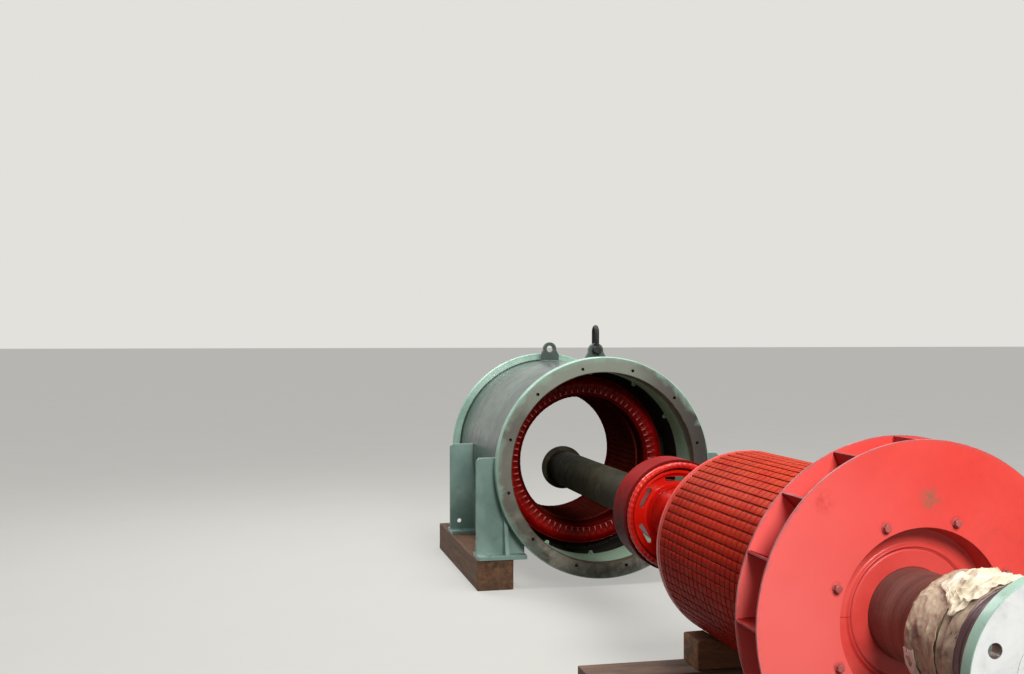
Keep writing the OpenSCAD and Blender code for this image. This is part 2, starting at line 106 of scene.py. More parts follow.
def across(direction):
    """A unit vector square to a direction."""
    other = Vector((0, 0, 1)) if abs(direction.z) < 0.9 else Vector((0, 1, 0))
    return direction.cross(other).normalized()


def limited(value):
    return max(0.0, min(1.0, value))


def hump(x, middle, width):
    """1 at the middle, falling off to both sides."""
    return math.exp(-((x - middle) / width) ** 2)


def crease(point, sharpness):
    """1 along the folds of a smooth noise, falling to 0 beside them."""
    return max(0.0, 1.0 - abs(noise.noise(Vector(point))) * sharpness)


# Flat outlines

def fillet(outline, radius, steps=3, closed=True):
    """Rounds the corners of an outline; radius is one number or one for each corner."""
    corners = [complex(*p) for p in outline]
    out = []
    for i, p in enumerate(corners):
        size = radius[i] if isinstance(radius, list) else radius
        before, after = corners[i - 1] - p, corners[(i + 1) % len(corners)] - p
        room = abs(before) * abs(after)
        ends = not closed and i in (0, len(corners) - 1)
        if size <= 0 or ends or room < 1e-12 or abs((before.conjugate() * after).imag) < 0.02 * room:
            out.append(outline[i])
            continue
        reach = min(size, abs(before) * 0.45, abs(after) * 0.45)
        start, end = p + before / abs(before) * reach, p + after / abs(after) * reach
        knee = p * 0.9 + (start + end) * 0.05
        for k in range(steps + 1):
            w = k / steps
            q = (1 - w) ** 2 * start + 2 * w * (1 - w) * knee + w * w * end
            out.append((q.real, q.imag))
    return out


def inset(loop, d):
    """A loop moved to the left of its direction by d."""
    out = []
    for i in range(len(loop)):
        p = complex(*loop[i])
        before, after = p - complex(*loop[i - 1]), complex(*loop[(i + 1) % len(loop)]) - p
        left = 1j * (before / abs(before) + after / abs(after))
        q = p + left / abs(left) * d / max(0.35, abs(left) / 2)
        out.append((q.real, q.imag))
    return out


def circle(x, y, r, n=32):
    return [(x + r * cos(TAU * i / n), y + r * sin(TAU * i / n)) for i in range(n)]


def directed(loop, clockwise):
    """The loop, turned round where it runs the other way."""
    area = sum(p[0] * q[1] - q[0] * p[1] for p, q in zip(loop, loop[1:] + loop[:1]))
    return loop if (area < 0) == clockwise else loop[::-1]


def inside(x, y, loop):
    hit = False
    for (x0, y0), (x1, y1) in zip(loop[-1:] + loop[:-1], loop):
        if (y1 > y) != (y0 > y) and x < (x0 - x1) * (y - y1) / (y0 - y1) + x1:
            hit = not hit
    return hit


def dense(loop, step):
    """A loop with points added so that none are further apart than about step."""
    out = []
    for p, q in zip(loop, loop[1:] + loop[:1]):
        n = max(1, round(math.dist(p, q) / step))
        out.extend((p[0] + (q[0] - p[0]) * k / n, p[1] + (q[1] - p[1]) * k / n) for k in range(n))
    return out


def band(s0, s1, r0, r1):
    """The section of a plain ring."""
    return [(s0, r0), (s0, r1), (s1, r1), (s1, r0)]


def twofold(side, middle=0.0):
    """A closed outline from one side's points (u, v) and their reflection in v = middle."""
    return [(u, middle - v) for u, v in side] + [(u, middle + v) for u, v in reversed(side)]


# Mesh building

class Build:
    """Collects points and faces, then becomes one piece."""

    ROUND = 0.29

    def __init__(self):
        self.points, self.faces, self.slots = [], [], []

    def add(self, points):
        start = len(self.points)
        self.points.extend(points)
        return list(range(start, len(self.points)))

    def face(self, indices, slot=0):
        self.faces.append(tuple(indices))
        self.slots.append(slot)

    def skin(self, rows, closed=True, slot=0, wrap=False):
        """Quads between successive rows of indices; each row a closed loop unless told."""
        for i in range(len(rows) if wrap else len(rows) - 1):
            a, b = rows[i], rows[(i + 1) % len(rows)]
            which = slot[i] if isinstance(slot, list) else slot
            for j in range(len(a) if closed else len(a) - 1):
                k = (j + 1) % len(a)
                self.face((a[j], a[k], b[k], b[j]), which)

    def cap(self, row, slot, centre):
        """Closes a row by triangles to its centre."""
        c = self.add([centre])[0]
        for j, index in enumerate(row):
            self.face((index, row[(j + 1) % len(row)], c), slot)

    def stack(self, point, levels, slot=0, ends=True):
        """Skins outlines at their heights (outline, w), placed by point(u, v, w)."""
        rows = [self.add([point(u, v, w) for u, v in outline]) for outline, w in levels]
        self.skin(rows, slot=slot)
        for row in (rows[0], rows[-1]) if ends else ():
            self.face(row, slot)
        return rows

    def fill(self, rings, slot):
        """Triangles inside the first flat ring (row, outline) and outside the others."""
        flat = [Vector(p) for row, outline in rings for p in outline]
        index = [i for row, outline in rings for i in row]
        edges = []
        for row, outline in rings:
            start, n = len(edges), len(row)
            edges.extend((start + i, start + (i + 1) % n) for i in range(n))
        verts, _, faces, origins = delaunay_2d_cdt(flat, edges, [], 0, 1e-7)[:4]
        for face in faces:
            x, y = (sum(verts[i][axis] for i in face) / 3 for axis in (0, 1))
            hits = [inside(x, y, outline) for row, outline in rings]
            if hits[0] and sum(hits) % 2 and all(origins[i] for i in face):
                self.face([index[origins[i][0]] for i in face], slot)

    def plate(self, point, loops, w0, w1, bevel=0.001, slots=(0, 0, 0, 0), blind=0.0, between=0):
        """A plate between w0 and w1, placed by point(u, v, w). loops are its outline and its
        holes, slots are front, rim, back and holes. Where blind is given, the holes after the
        first stop at that depth. between is the number of rows added to the rim."""
        front, back = [], []
        for k, loop in enumerate(loops):
            loop = directed(loop, clockwise=k > 0)
            small, mid = inset(loop, bevel), inset(loop, bevel * self.ROUND)
            levels = [(small, w0), (mid, w0 + bevel * self.ROUND), (loop, w0 + bevel)]
            slot = slots[3 if k else 1]
            if blind and k > 1:
                rows = self.stack(point, levels + [(loop, w0 + blind)], slot, ends=False)
                middle = [sum(p[c] for p in loop) / len(loop) for c in (0, 1)]
                self.cap(rows[-1], slot, point(*middle, w0 + blind + 0.004))
            else:
                rim = w1 - w0 - 2 * bevel
                levels += [(loop, w0 + bevel + rim * i / (between + 1)) for i in range(1, between + 2)]
                levels += [(mid, w1 - bevel * self.ROUND), (small, w1)]
                rows = self.stack(point, levels, slot, ends=False)
                back.append((rows[-1], small))
            front.append((rows[0], small))
        self.fill(front, slots[0])
        self.fill(back, slots[2])

    def block(self, point, u0, u1, v0, v1, w0, w1, bevel):
        """A box between three pairs of limits with rounded edges on every side."""
        loop = fillet([(u0, v0), (u1, v0), (u1, v1), (u0, v1)], bevel, 2)
        small, mid, step = inset(loop, bevel * 0.95), inset(loop, bevel * self.ROUND), bevel * self.ROUND
        self.stack(point, [(small, w0), (mid, w0 + step), (loop, w0 + bevel),
                           (loop, w1 - bevel), (mid, w1 - step), (small, w1)])

    def lathe(self, axis, ring, seg=160, corner=0, steps=3, closed=True, slot=0, wave=None, angles=None):
        """Turns a profile of (s, r) with rounded corners round an axis. wave(s, r, a) may shift
        a point. slot is a number or a function of the middle of a stretch. An open profile
        that ends near the axis is closed there."""
        profile = fillet(ring, corner, steps, closed)
        rows = []
        for s, r in profile:
            row = []
            for a in angles or [TAU * i / seg for i in range(seg)]:
                ds, dr = wave(s, r, a) if wave else (0.0, 0.0)
                row.append(axis(s + ds, r + dr, a))
            rows.append(self.add(row))
        if callable(slot):
            ends = zip(profile, profile[1:] + profile[:1])
            slot = [slot((p[0] + q[0]) / 2, (p[1] + q[1]) / 2) for p, q in ends]
        self.skin(rows, slot=slot, wrap=closed)
        for k in () if closed else (0, -1):
            if profile[k][1] < 0.05:
                self.cap(rows[k], slot[k] if isinstance(slot, list) else slot, axis(profile[k][0], 0.0, 0.0))

    def tube(self, path, radius, seg, closed=False):
        """A round bar along a path of points. radius is a number or one for each point."""
        rows, side = [], None
        for i, p in enumerate(path):
            before = path[i - 1] if i or closed else p
            after = path[(i + 1) % len(path)] if i < len(path) - 1 or closed else p
            along = (after - before).normalized()
            side = (side - along * side.dot(along)).normalized() if rows else across(along)
            up = side.cross(along)
            r = radius[i] if isinstance(radius, list) else radius
            turns = [TAU * k / seg for k in range(seg)]
            rows.append(self.add([p + side * (r * cos(q)) + up * (r * sin(q)) for q in turns]))
        self.skin(rows, wrap=closed)
        for row in () if closed else (rows[0], rows[-1]):
            self.face(row)

    def bead(self, a, b, size, seed=0):
        """A weld bead laid from a to b, with its ripples."""
        length = (b - a).length
        n = max(4, int(length / 0.006))
        ripples = [noise.noise(Vector((i / n * length * 160, seed * 3.1, 0.5))) for i in range(n + 1)]
        self.tube([a.lerp(b, i / n) for i in range(n + 1)], [size * (0.86 + 0.2 * x) for x in ripples], 6)

    def bolt(self, centre, out, width, height, turn=0.0, washer=0.0):
        """A hexagon bolt head of a width across its flats, standing out, on a washer of a radius."""
        right = across(out)
        up = out.cross(right)
        half = width / 2
        flat = half * 0.95

        def ring(count, turn, shape):
            row = []
            for k in range(count):
                q = TAU * k / count
                r, h = shape(half / cos(q % (TAU / 6) - TAU / 12))
                row.append(centre + right * (r * cos(q + turn)) + up * (r * sin(q + turn)) + out * h)
            return self.add(row)
        if washer:
            top = 0.003
            steps = ((washer, 0.0), (washer, 0.0022), (washer - 0.0009, top), (half, top))
            self.skin([ring(36, 0.0, lambda corner: step) for step in steps])
            centre = centre + out * top
        shapes = (lambda corner: (corner, 0.0), lambda corner: (corner, height - (corner - flat) * 0.6),
                  lambda corner: (flat, height), lambda corner: (half * 0.86, height + 0.0002))
        rows = [ring(48, turn, shape) for shape in shapes]
        self.skin(rows)
        self.face(rows[-1])

    def finish(self, node, *shades, sharp=50, weighted=True, own=None):
        """Makes the piece that stands for a node, on the node's body. Where
        own is given, the piece has that name and is there beside the node's."""
        name = own or node + "_piece"
        mesh = bpy.data.meshes.new(name)
        mesh.from_pydata([tuple(p) for p in self.points], [], self.faces)
        for shade in shades:
            mesh.materials.append(shade.mat)
        mesh.polygons.foreach_set("material_index", self.slots)
        work = bmesh.new()
        work.from_mesh(mesh)
        bmesh.ops.remove_doubles(work, verts=work.verts, dist=1e-6)
        bmesh.ops.recalc_face_normals(work, faces=work.faces)
        work.to_mesh(mesh)
        work.free()
        mesh.polygons.foreach_set("use_smooth", [True] * len(mesh.polygons))
        mesh.set_sharp_from_angle(angle=rad(sharp))
        thing = bpy.data.objects.new(name, mesh)
        scene.collection.objects.link(thing)
        if weighted:
            thing.modifiers.new("normals", "WEIGHTED_NORMAL").keep_sharp = True
        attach(thing, BODY_OF[node])
        if not own:
            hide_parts(node)


# Materials

def srgb(*screen):
    """Linear colour of an 8-bit screen colour."""
    parts = [c / 255.0 for c in screen]
    return (*(c / 12.92 if c <= 0.04045 else ((c + 0.055) / 1.055) ** 2.4 for c in parts), 1.0)


class Shade:
    """One node material, whose colours and reliefs are laid over each other in turn."""

    SOCKETS = {"rough": "Roughness", "metal": "Metallic", "coat": "Coat Weight", "sheen": "Sheen Weight",
               "coat_rough": "Coat Roughness", "specular": "Specular IOR Level"}

    def __init__(self, name):
        self.mat = bpy.data.materials.new(name)
        self.mat.use_nodes = True
        self.tree = self.mat.node_tree
        self.bsdf = self.tree.nodes["Principled BSDF"]
        coord = self.tree.nodes.new("ShaderNodeTexCoord")
        self.obj, self.facing = coord.outputs["Object"], coord.outputs["Normal"]
        self.colour = self.relief = None

    def put(self, socket, value):
        if isinstance(value, bpy.types.NodeSocket):
            self.tree.links.new(value, socket)
        elif isinstance(value, tuple) and socket.type == "RGBA":
            socket.default_value = srgb(*value)
        else:
            socket.default_value = value

    def node(self, kind, inputs, output=0, **settings):
        """A node with its settings and inputs; gives one of its outputs."""
        made = self.tree.nodes.new("ShaderNode" + kind)
        for key, value in settings.items():
            setattr(made, key, value)
        for key, value in inputs.items():
            self.put(made.inputs[key], value)
        return made.outputs[output]

    def math(self, operation, a, b=0.0, clamp=False):
        return self.node("Math", {0: a, 1: b}, operation=operation, use_clamp=clamp)

    def mul(self, *factors):
        return reduce(lambda a, b: self.math("MULTIPLY", a, b), factors)

    def add(self, a, b):
        return self.math("ADD", a, b)

    def sub(self, a, b):
        return self.math("SUBTRACT", a, b)

    def noise(self, scale, detail=4.0, rough=0.55, distort=0.0, along=None, vector=None):
        """Smooth noise, stretched by the scales in along."""
        if along:
            vector = self.node("Mapping", {"Vector": self.obj, "Scale": along})
        return self.node("TexNoise", {"Vector": vector or self.obj, "Scale": scale, "Detail": detail,
                                      "Roughness": rough, "Distortion": distort})

    def fit(self, value, a, b, c=0.0, d=1.0):
        """The value carried from the range a to b to the range c to d."""
        inputs = {"Value": value, "From Min": a, "From Max": b, "To Min": c, "To Max": d}
        return self.node("MapRange", inputs, clamp=True)

    def xyz(self, vector=None):
        """The three parts of a vector, by default those of the place in the object's space."""
        split = self.tree.nodes.new("ShaderNodeSeparateXYZ")
        self.put(split.inputs[0], vector or self.obj)
        return split.outputs

    def polar(self, axis):
        """(s, r, a) of the shading point about an axis."""
        x, y, z = self.xyz()
        dy, dz = self.sub(y, axis.y), self.sub(z, axis.z)
        r = self.math("SQRT", self.add(self.mul(dy, dy), self.mul(dz, dz)))
        return self.sub(axis.x, x), r, self.math("ARCTAN2", dz, dy)

    def rings(self, axis, fineness):
        """Fine turning marks round an axis, on a face."""
        vector = self.node("CombineXYZ", {0: self.mul(self.polar(axis)[1], fineness)})
        return self.noise(1.0, 3.0, 0.6, vector=vector)

    def spot(self, centre, size, high):
        """1 near a point, falling off towards size."""
        away = self.node("VectorMath", {0: self.obj, 1: tuple(centre)}, "Value", operation="DISTANCE")
        return self.fit(self.fit(away, 0.0, size, 1.0, 0.0), 0.1, high)

    def tones(self, value, *colours, at=(0.3, 0.5, 0.7)):
        """Starts the colour as a ramp of tones over a value."""
        made = self.tree.nodes.new("ShaderNodeValToRGB")
        self.put(made.inputs[0], value)
        band = made.color_ramp
        while len(band.elements) < len(colours):
            band.elements.new(0.5)
        for element, position, colour in zip(band.elements, at, colours):
            element.position = position
            element.color = srgb(*colour)
        self.colour = made.outputs[0]

    def blend(self, amount, a, b):
        return self.node("Mix", {0: amount, 6: a, 7: b}, 2, data_type="RGBA", blend_type="MIX")

    def over(self, amount, colour):
        """Lays a colour over what is there."""
        self.colour = self.blend(amount, self.colour, colour)

    def stain(self, texture, low, high, amount, colour):
        """Lays a colour over where a texture rises from low to high."""
        self.over(self.fit(texture, low, high, 0.0, amount), colour)

    def bump(self, height, strength, distance=0.001):
        """Lays a relief over what is there."""
        inputs = {"Height": height, "Strength": strength, "Distance": distance}
        if self.relief:
            inputs["Normal"] = self.relief
        self.relief = self.node("Bump", inputs)

    def set(self, **values):
        """Puts the colour, the relief and the named values on the shader's own sockets."""
        self.put(self.bsdf.inputs["Base Color"], self.colour)
        if self.relief:
            self.put(self.bsdf.inputs["Normal"], self.relief)
        for key, value in values.items():
            self.put(self.bsdf.inputs[self.SOCKETS[key]], value)
        return self


def paint(name, dark, base, light, rough=0.45, gloss=0.0, patch=2.2, mottle=26.0, dirt=(90, 60, 50),
          dirt_amount=0.25, chip=None, chip_level=0.70, peel=0.12, wave=0.25):
    """Painted metal: drifts of shade, fine mottling, dirt, optional chips, orange peel."""
    m = Shade(name)
    m.tones(m.noise(patch, 3.0, 0.5, 0.6), dark, base, light, at=(0.32, 0.5, 0.68))
    m.stain(m.noise(mottle, 6.0, 0.65), 0.35, 0.75, 0.28, dark)
    m.stain(m.noise(patch * 3.4, 8.0, 0.72, 1.2), 0.56, 0.78, dirt_amount, dirt)
    m.bump(m.noise(3.5, 2.0, 0.5), wave, 0.01)
    m.bump(m.noise(420.0, 3.0, 0.6), peel, 0.0006)
    if chip:
        mask = m.fit(m.noise(38.0, 8.0, 0.75, 0.8), chip_level, chip_level + 0.03)
        m.over(mask, chip)
        m.bump(m.sub(1.0, mask), 0.4, 0.0008)
    rough = m.fit(m.noise(patch * 5, 4.0, 0.6), 0.3, 0.7, rough - 0.07, rough + 0.09)
    return m.set(rough=rough, specular=0.28, coat=gloss, coat_rough=0.12)


def fan_paint():
    """Matt red of the fan discs, with painted light low on the -Y side, a smudge, a scuff, and dirt with
    painted shadow round the bolts.
    """
    m = paint("fan_paint", (216, 56, 48), (230, 68, 60), (240, 80, 71), rough=0.55, patch=1.7, mottle=30.0,
              dirt=(190, 60, 52), dirt_amount=0.35, peel=0.10, wave=0.35)
    y, z = m.xyz()[1:3]
    # Paler, pinker red low on the -Y side: painted light.
    slope = m.add(m.mul(y, -1.0), m.mul(z, -0.6))
    m.stain(m.add(slope, m.mul(m.noise(2.2, 3.0, 0.5), 0.5)), -0.45, 0.40, 0.80, (252, 116, 112))
    smudge = m.fit(m.noise(46.0, 5.0, 0.65), 0.36, 0.60)
    smudge = m.mul(m.spot(ROTOR(-0.001, 0.3635, rad(86.7)), 0.046, 0.6), smudge)
    m.over(m.math("MULTIPLY", smudge, 0.85, True), (146, 104, 84))
    scuff = m.fit(m.noise(40.0, 5.0, 0.65), 0.40, 0.62)
    scuff = m.mul(m.spot(ROTOR(-0.001, 0.4902, rad(132.3)), 0.050, 0.7), scuff)
    m.over(m.math("MULTIPLY", scuff, 0.45, True), (196, 52, 48))
    worn = m.fit(m.noise(30.0, 7.0, 0.75), 0.46, 0.62)
    m.over(m.mul(m.fit(m.polar(ROTOR)[1], 0.525, FAN_R), worn, 0.8), (172, 110, 112))
    # Darker red round each bolt: dirt and painted shadow.
    for turn in FAN_BOLT_TURNS:
        ring = m.spot(ROTOR(-0.001, FAN_BOLT_R, turn), 0.026, 0.6)
        m.over(m.mul(ring, m.fit(m.noise(70.0, 4.0, 0.6), 0.35, 0.65, 0.1, 0.7)), (150, 44, 44))
    return m.set(specular=0.20)


def hub_paint(name="hub_paint"):
    return paint(name, (208, 62, 56), (222, 78, 71), (232, 96, 88), rough=0.38, gloss=0.15, patch=3.0,
                 dirt=(168, 48, 44), peel=0.08)


def hub_groove_paint():
    """The hub's paint in its groove, with purple painted shade that is strong on the -Y side."""
    m = hub_paint("hub_groove_paint")
    # Purple painted shade in the groove, strong towards -Y and faint towards +Y.
    m.over(m.fit(m.xyz()[1], ROTOR.y - 0.06, ROTOR.y + 0.06, 0.85, 0.15), (112, 30, 52))
    return m.set()


def blade_paint():
    # The fan's red made darker for the blades: painted shade.
    return paint("blade_paint", (150, 34, 36), (176, 44, 42), (200, 58, 54), rough=0.5, patch=2.4,
                 dirt=(100, 30, 30), dirt_amount=0.4)


def rim_paint():
    return paint("fan_edge_paint", (150, 78, 84), (178, 98, 100), (198, 132, 130), rough=0.5, patch=6.0,
                 dirt=(140, 104, 112), dirt_amount=0.6, chip=(150, 132, 136), chip_level=0.60)


def core_paint():
    """Thick red varnish over the rotor core: dust and a painted highlight above, painted shade below and deep
    between the teeth.
    """
    m = Shade("core_paint")
    up = m.xyz(m.facing)[2]
    m.tones(m.noise(2.6, 3.0, 0.5, 0.5), (158, 26, 14), (182, 34, 19), (196, 46, 25))
    m.stain(m.noise(1.0, 4.0, 0.6, along=(3.0, 50.0, 50.0)), 0.48, 0.7, 0.4, (136, 24, 16))
    # Paler orange on faces turned up: dust and a painted highlight.
    dust = m.fit(m.noise(9.0, 8.0, 0.7, 1.5), 0.35, 0.7, 0.15, 0.8)
    m.over(m.mul(m.fit(up, 0.1, 0.95), dust), (200, 80, 46))
    # Darker on faces turned down: painted shade.
    m.over(m.fit(up, -0.7, 0.25, 0.40, 0.0), (120, 18, 12))
    # Darker deep between the teeth: painted shade.
    m.over(m.mul(m.fit(m.polar(ROTOR)[1], 0.378, 0.3842, 1.0, 0.0), 0.35), (120, 20, 12))
    m.bump(m.noise(60.0, 4.0, 0.6), 0.25)
    return m.set(rough=m.fit(m.noise(30.0, 5.0, 0.6), 0.3, 0.7, 0.38, 0.52), specular=0.02)


def slot_varnish():
    """The core's red varnish made darker down in the rotor's slots: painted shade."""
    return paint("slot_varnish", (128, 20, 12), (150, 28, 16), (166, 38, 22), rough=0.55, patch=6.0,
                 dirt=(92, 22, 14)).set(specular=0.04)


def gloss_red(name, dark, base, light, coat=0.22):
    """Thick glossy varnish with sags."""
    m = Shade(name)
    m.tones(m.noise(4.0, 3.0, 0.5), dark, base, light, at=(0.32, 0.5, 0.7))
    m.stain(m.noise(14.0, 8.0, 0.7, 0.8), 0.58, 0.82, 0.3, (120, 30, 22))
    m.bump(m.noise(26.0, 2.0, 0.5), 0.35, 0.002)
    m.bump(m.noise(180.0, 3.0, 0.5), 0.08, 0.0008)
    rough = m.fit(m.noise(22.0, 3.0, 0.6), 0.3, 0.7, 0.14, 0.26)
    return m.set(rough=rough, specular=0.12, coat=coat, coat_rough=0.06)


def exciter_paint():
    """Varnished bands of the exciter's drum: dark red, turning purple-brown on its sides and underside as
    painted shade.
    """
    m = Shade("exciter_paint")
    m.tones(m.noise(5.0, 3.0, 0.5), (122, 18, 20), (150, 24, 24), (170, 36, 32), at=(0.32, 0.5, 0.7))
    # Purple-brown on faces turned sideways and down: painted shade.
    m.over(m.mul(m.fit(m.xyz(m.facing)[2], -0.3, 0.55, 1.0, 0.0), 0.86), (58, 32, 32))
    lines = m.noise(1.0, 2.0, 0.5, along=(420.0, 4.0, 4.0))
    m.stain(lines, 0.45, 0.7, 0.3, (86, 18, 22))
    m.bump(lines, 0.18, 0.0008)
    m.bump(m.noise(60.0, 4.0, 0.6), 0.12)
    return m.set(rough=m.fit(m.noise(30.0), 0.3, 0.7, 0.34, 0.48), specular=0.03)


def turned_steel(name, dark, base, light, rough=0.36, metal=0.55, rings=260.0, depth=0.35):
    """Turned steel with oil: rings round the shaft, stains and fine scratches."""
    m = Shade(name)
    bands = m.noise(1.0, 3.0, 0.6, along=(14.0, 0.6, 0.6))
    m.tones(bands, dark, base, light, at=(0.3, 0.5, 0.72))
    stain = m.noise(9.0, 7.0, 0.7, 1.0)
    m.stain(stain, 0.48, 0.75, 0.5, dark)
    fine = m.noise(1.0, 2.0, 0.5, along=(rings, 1.5, 1.5))
    m.stain(fine, 0.4, 0.7, 0.3, dark)
    m.bump(fine, depth, 0.0008)
    m.bump(m.noise(1.0, 2.0, 0.5, along=(60.0, 1.0, 1.0)), depth, 0.002)
    return m.set(rough=m.fit(stain, 0.3, 0.8, rough - 0.06, rough + 0.2), metal=metal)


def paper(name, dark, base, light):
    """Plain paper: soft shades, fibres and small creases."""
    m = Shade(name)
    m.tones(m.noise(5.0, 4.0, 0.6, 0.8), dark, base, light, at=(0.32, 0.52, 0.75))
    m.stain(m.noise(160.0, 5.0, 0.7), 0.4, 0.7, 0.18, dark)
    m.bump(m.noise(70.0, 6.0, 0.7, 0.6), 0.5, 0.002)
    return m.set(rough=0.78, specular=0.2)


def paper_cover(name, dark, base, light):
    """Outer layers of the wrap: paper with soft folds, fibres and broad dark blotches."""
    m = Shade(name)
    m.tones(m.noise(9.0, 5.0, 0.65, 1.0), dark, base, light, at=(0.3, 0.5, 0.68))
    m.stain(m.noise(15.0, 7.0, 0.72, 1.6), 0.54, 0.70, 0.6, tuple(int(c * 0.62) for c in dark))
    fibre = m.noise(150.0, 5.0, 0.7)
    m.stain(fibre, 0.4, 0.7, 0.15, dark)
    m.bump(m.noise(34.0, 5.0, 0.65, 0.6), 0.45, 0.003)
    m.bump(fibre, 0.15, 0.0006)
    return m.set(rough=0.75, specular=0.2, sheen=0.05)


def coupling_face():
    """Pale machined face with turning marks and a few spots."""
    m = Shade("coupling_face")
    smear = m.noise(6.0, 6.0, 0.7, 1.0)
    m.tones(smear, (206, 210, 210), (230, 232, 233), (240, 242, 243))
    rings = m.rings(ROTOR, 420.0)
    m.stain(rings, 0.45, 0.7, 0.16, (178, 186, 182))
    m.stain(m.noise(34.0, 8.0, 0.75), 0.64, 0.72, 0.5, (150, 138, 120))
    m.bump(rings, 0.12, 0.0004)
    return m.set(rough=m.fit(smear, 0.3, 0.7, 0.34, 0.5), metal=0.15)


def mint(name, dark, base, light, rough=0.38):
    """Old mint paint with chips."""
    return paint(name, dark, base, light, rough=rough, gloss=0.2, patch=3.0, mottle=24.0, dirt=(96, 98, 80),
                 dirt_amount=0.55, chip=(112, 96, 78), chip_level=0.69)


def flange_steel():
    """Dull grey flange: paler mint above from thin old paint and painted light, purple-brown painted shadow to
    +Y, darker patches and pale spots below.
    """
    m = Shade("flange_steel")
    r = m.polar(STATOR)[1]
    y, z = m.xyz()[1:3]
    tone = m.noise(3.2, 4.0, 0.55, 0.6)
    drift = m.mul(tone, 0.3)
    m.tones(tone, (104, 102, 94), (118, 116, 108), (134, 132, 122))
    # Paler mint high on the -Y side: thin old paint and painted light.
    above = m.mul(m.fit(m.add(z, drift), 1.15, 1.38), m.fit(m.add(y, drift), 0.28, 0.50, 1.0, 0.0))
    m.over(m.mul(above, 0.75), (158, 168, 154))
    # Purple-brown towards +Y: painted shadow.
    m.over(m.mul(m.fit(m.add(y, drift), 0.35, 0.76), 0.90), (64, 57, 54))
    rings = m.rings(STATOR, 300.0)
    m.stain(rings, 0.4, 0.7, 0.2, (92, 88, 82))
    mask = m.fit(m.add(m.noise(5.0, 5.0, 0.6, 0.6), m.fit(r, 0.600, 0.656, 0.0, 0.26)), 0.60, 0.78)
    m.over(m.mul(mask, 0.8), (156, 184, 166))
    low = m.fit(m.add(z, drift), 0.35, 0.85, 1.0, 0.0)
    m.over(m.mul(low, m.fit(m.noise(5.0, 7.0, 0.66, 1.0), 0.32, 0.60, 0.25, 0.9)), (74, 68, 58))
    pale = m.sub(m.noise(6.5, 6.0, 0.66, 0.5), m.fit(r, 0.590, 0.640, 0.0, 0.12))
    m.over(m.mul(low, m.fit(pale, 0.43, 0.60), 0.85), (160, 154, 140))
    m.stain(m.noise(13.0, 8.0, 0.75, 1.8), 0.62, 0.74, 0.5, (92, 70, 52))
    m.bump(rings, 0.15, 0.0005)
    m.bump(mask, 0.4, 0.0006)
    return m.set(rough=m.fit(tone, 0.3, 0.7, 0.5, 0.62), specular=0.15)


def guide_paint():
    """Mint paint inside the air guide ring, with painted shade below and, next to the flange, grime and
    painted shadow in brown.
    """
    m = mint("guide_paint", (170, 212, 182), (192, 230, 202), (208, 240, 214))
    z = m.xyz()[2]
    # Darker towards the bottom: painted shade.
    m.over(m.fit(z, 0.20, 0.60, 0.50, 0.0), (124, 140, 118))
    # Brown band next to the flange, wider at the top: grime and painted shadow of the flange.
    ragged = m.add(m.polar(STATOR)[0], m.mul(m.noise(9.0, 5.0, 0.6), 0.05))
    near = m.sub(ragged, m.fit(z, 0.40, 0.95, 0.055, 0.110))
    m.over(m.fit(near, 0.0, 0.030, 0.85, 0.0), (86, 76, 54))
    return m.set(coat=0.0, specular=0.1)


def bore_steel():
    """Turned surface inside the flange: oiled, brown and olive."""
    m = Shade("flange_bore_steel")
    tone = m.noise(7.0, 6.0, 0.65, 1.2)
    m.tones(tone, (58, 48, 34), (82, 68, 50), (116, 104, 80))
    lines = m.noise(1.0, 3.0, 0.6, along=(400.0, 4.0, 4.0))
    m.stain(lines, 0.45, 0.7, 0.35, (48, 38, 28))
    m.bump(lines, 0.2, 0.0005)
    return m.set(rough=m.fit(tone, 0.3, 0.7, 0.4, 0.6), metal=0.3, specular=0.3)


def chamber_paint():
    """Inside of the frame: dark paint under oil and dust, darkened further as painted shade."""
    return paint("chamber_paint", (40, 38, 34), (52, 50, 45), (68, 66, 58), rough=0.6, patch=3.0,
                 dirt=(34, 28, 22)).set(specular=0.05)


def shell_paint():
    """Dark grey-green gloss of the frame."""
    return paint("shell_paint", (56, 68, 64), (72, 86, 80), (92, 108, 100), rough=0.32, gloss=0.25,
                 mottle=22.0, dirt=(58, 50, 40), dirt_amount=0.5, chip=(110, 92, 70), chip_level=0.72,
                 peel=0.15)


def bore_varnish():
    """Dark brown-red varnish of the stator core, dull with dust."""
    m = Shade("bore_varnish")
    m.tones(m.noise(6.0, 5.0, 0.6, 0.6), (84, 30, 22), (102, 36, 27), (120, 44, 33))
    dust = m.noise(16.0, 8.0, 0.7, 1.0)
    m.stain(dust, 0.54, 0.8, 0.3, (92, 54, 42))
    m.bump(m.noise(70.0, 4.0), 0.3)
    return m.set(rough=m.fit(dust, 0.3, 0.7, 0.7, 0.85), specular=0.0)


def stator_wedge():
    """The same varnish on the wedges of the stator's slots."""
    return paint("slot_wedge", (84, 30, 22), (104, 37, 28), (118, 44, 34), rough=0.6, patch=5.0,
                 dirt=(50, 34, 26), dirt_amount=0.4).set(specular=0.0)


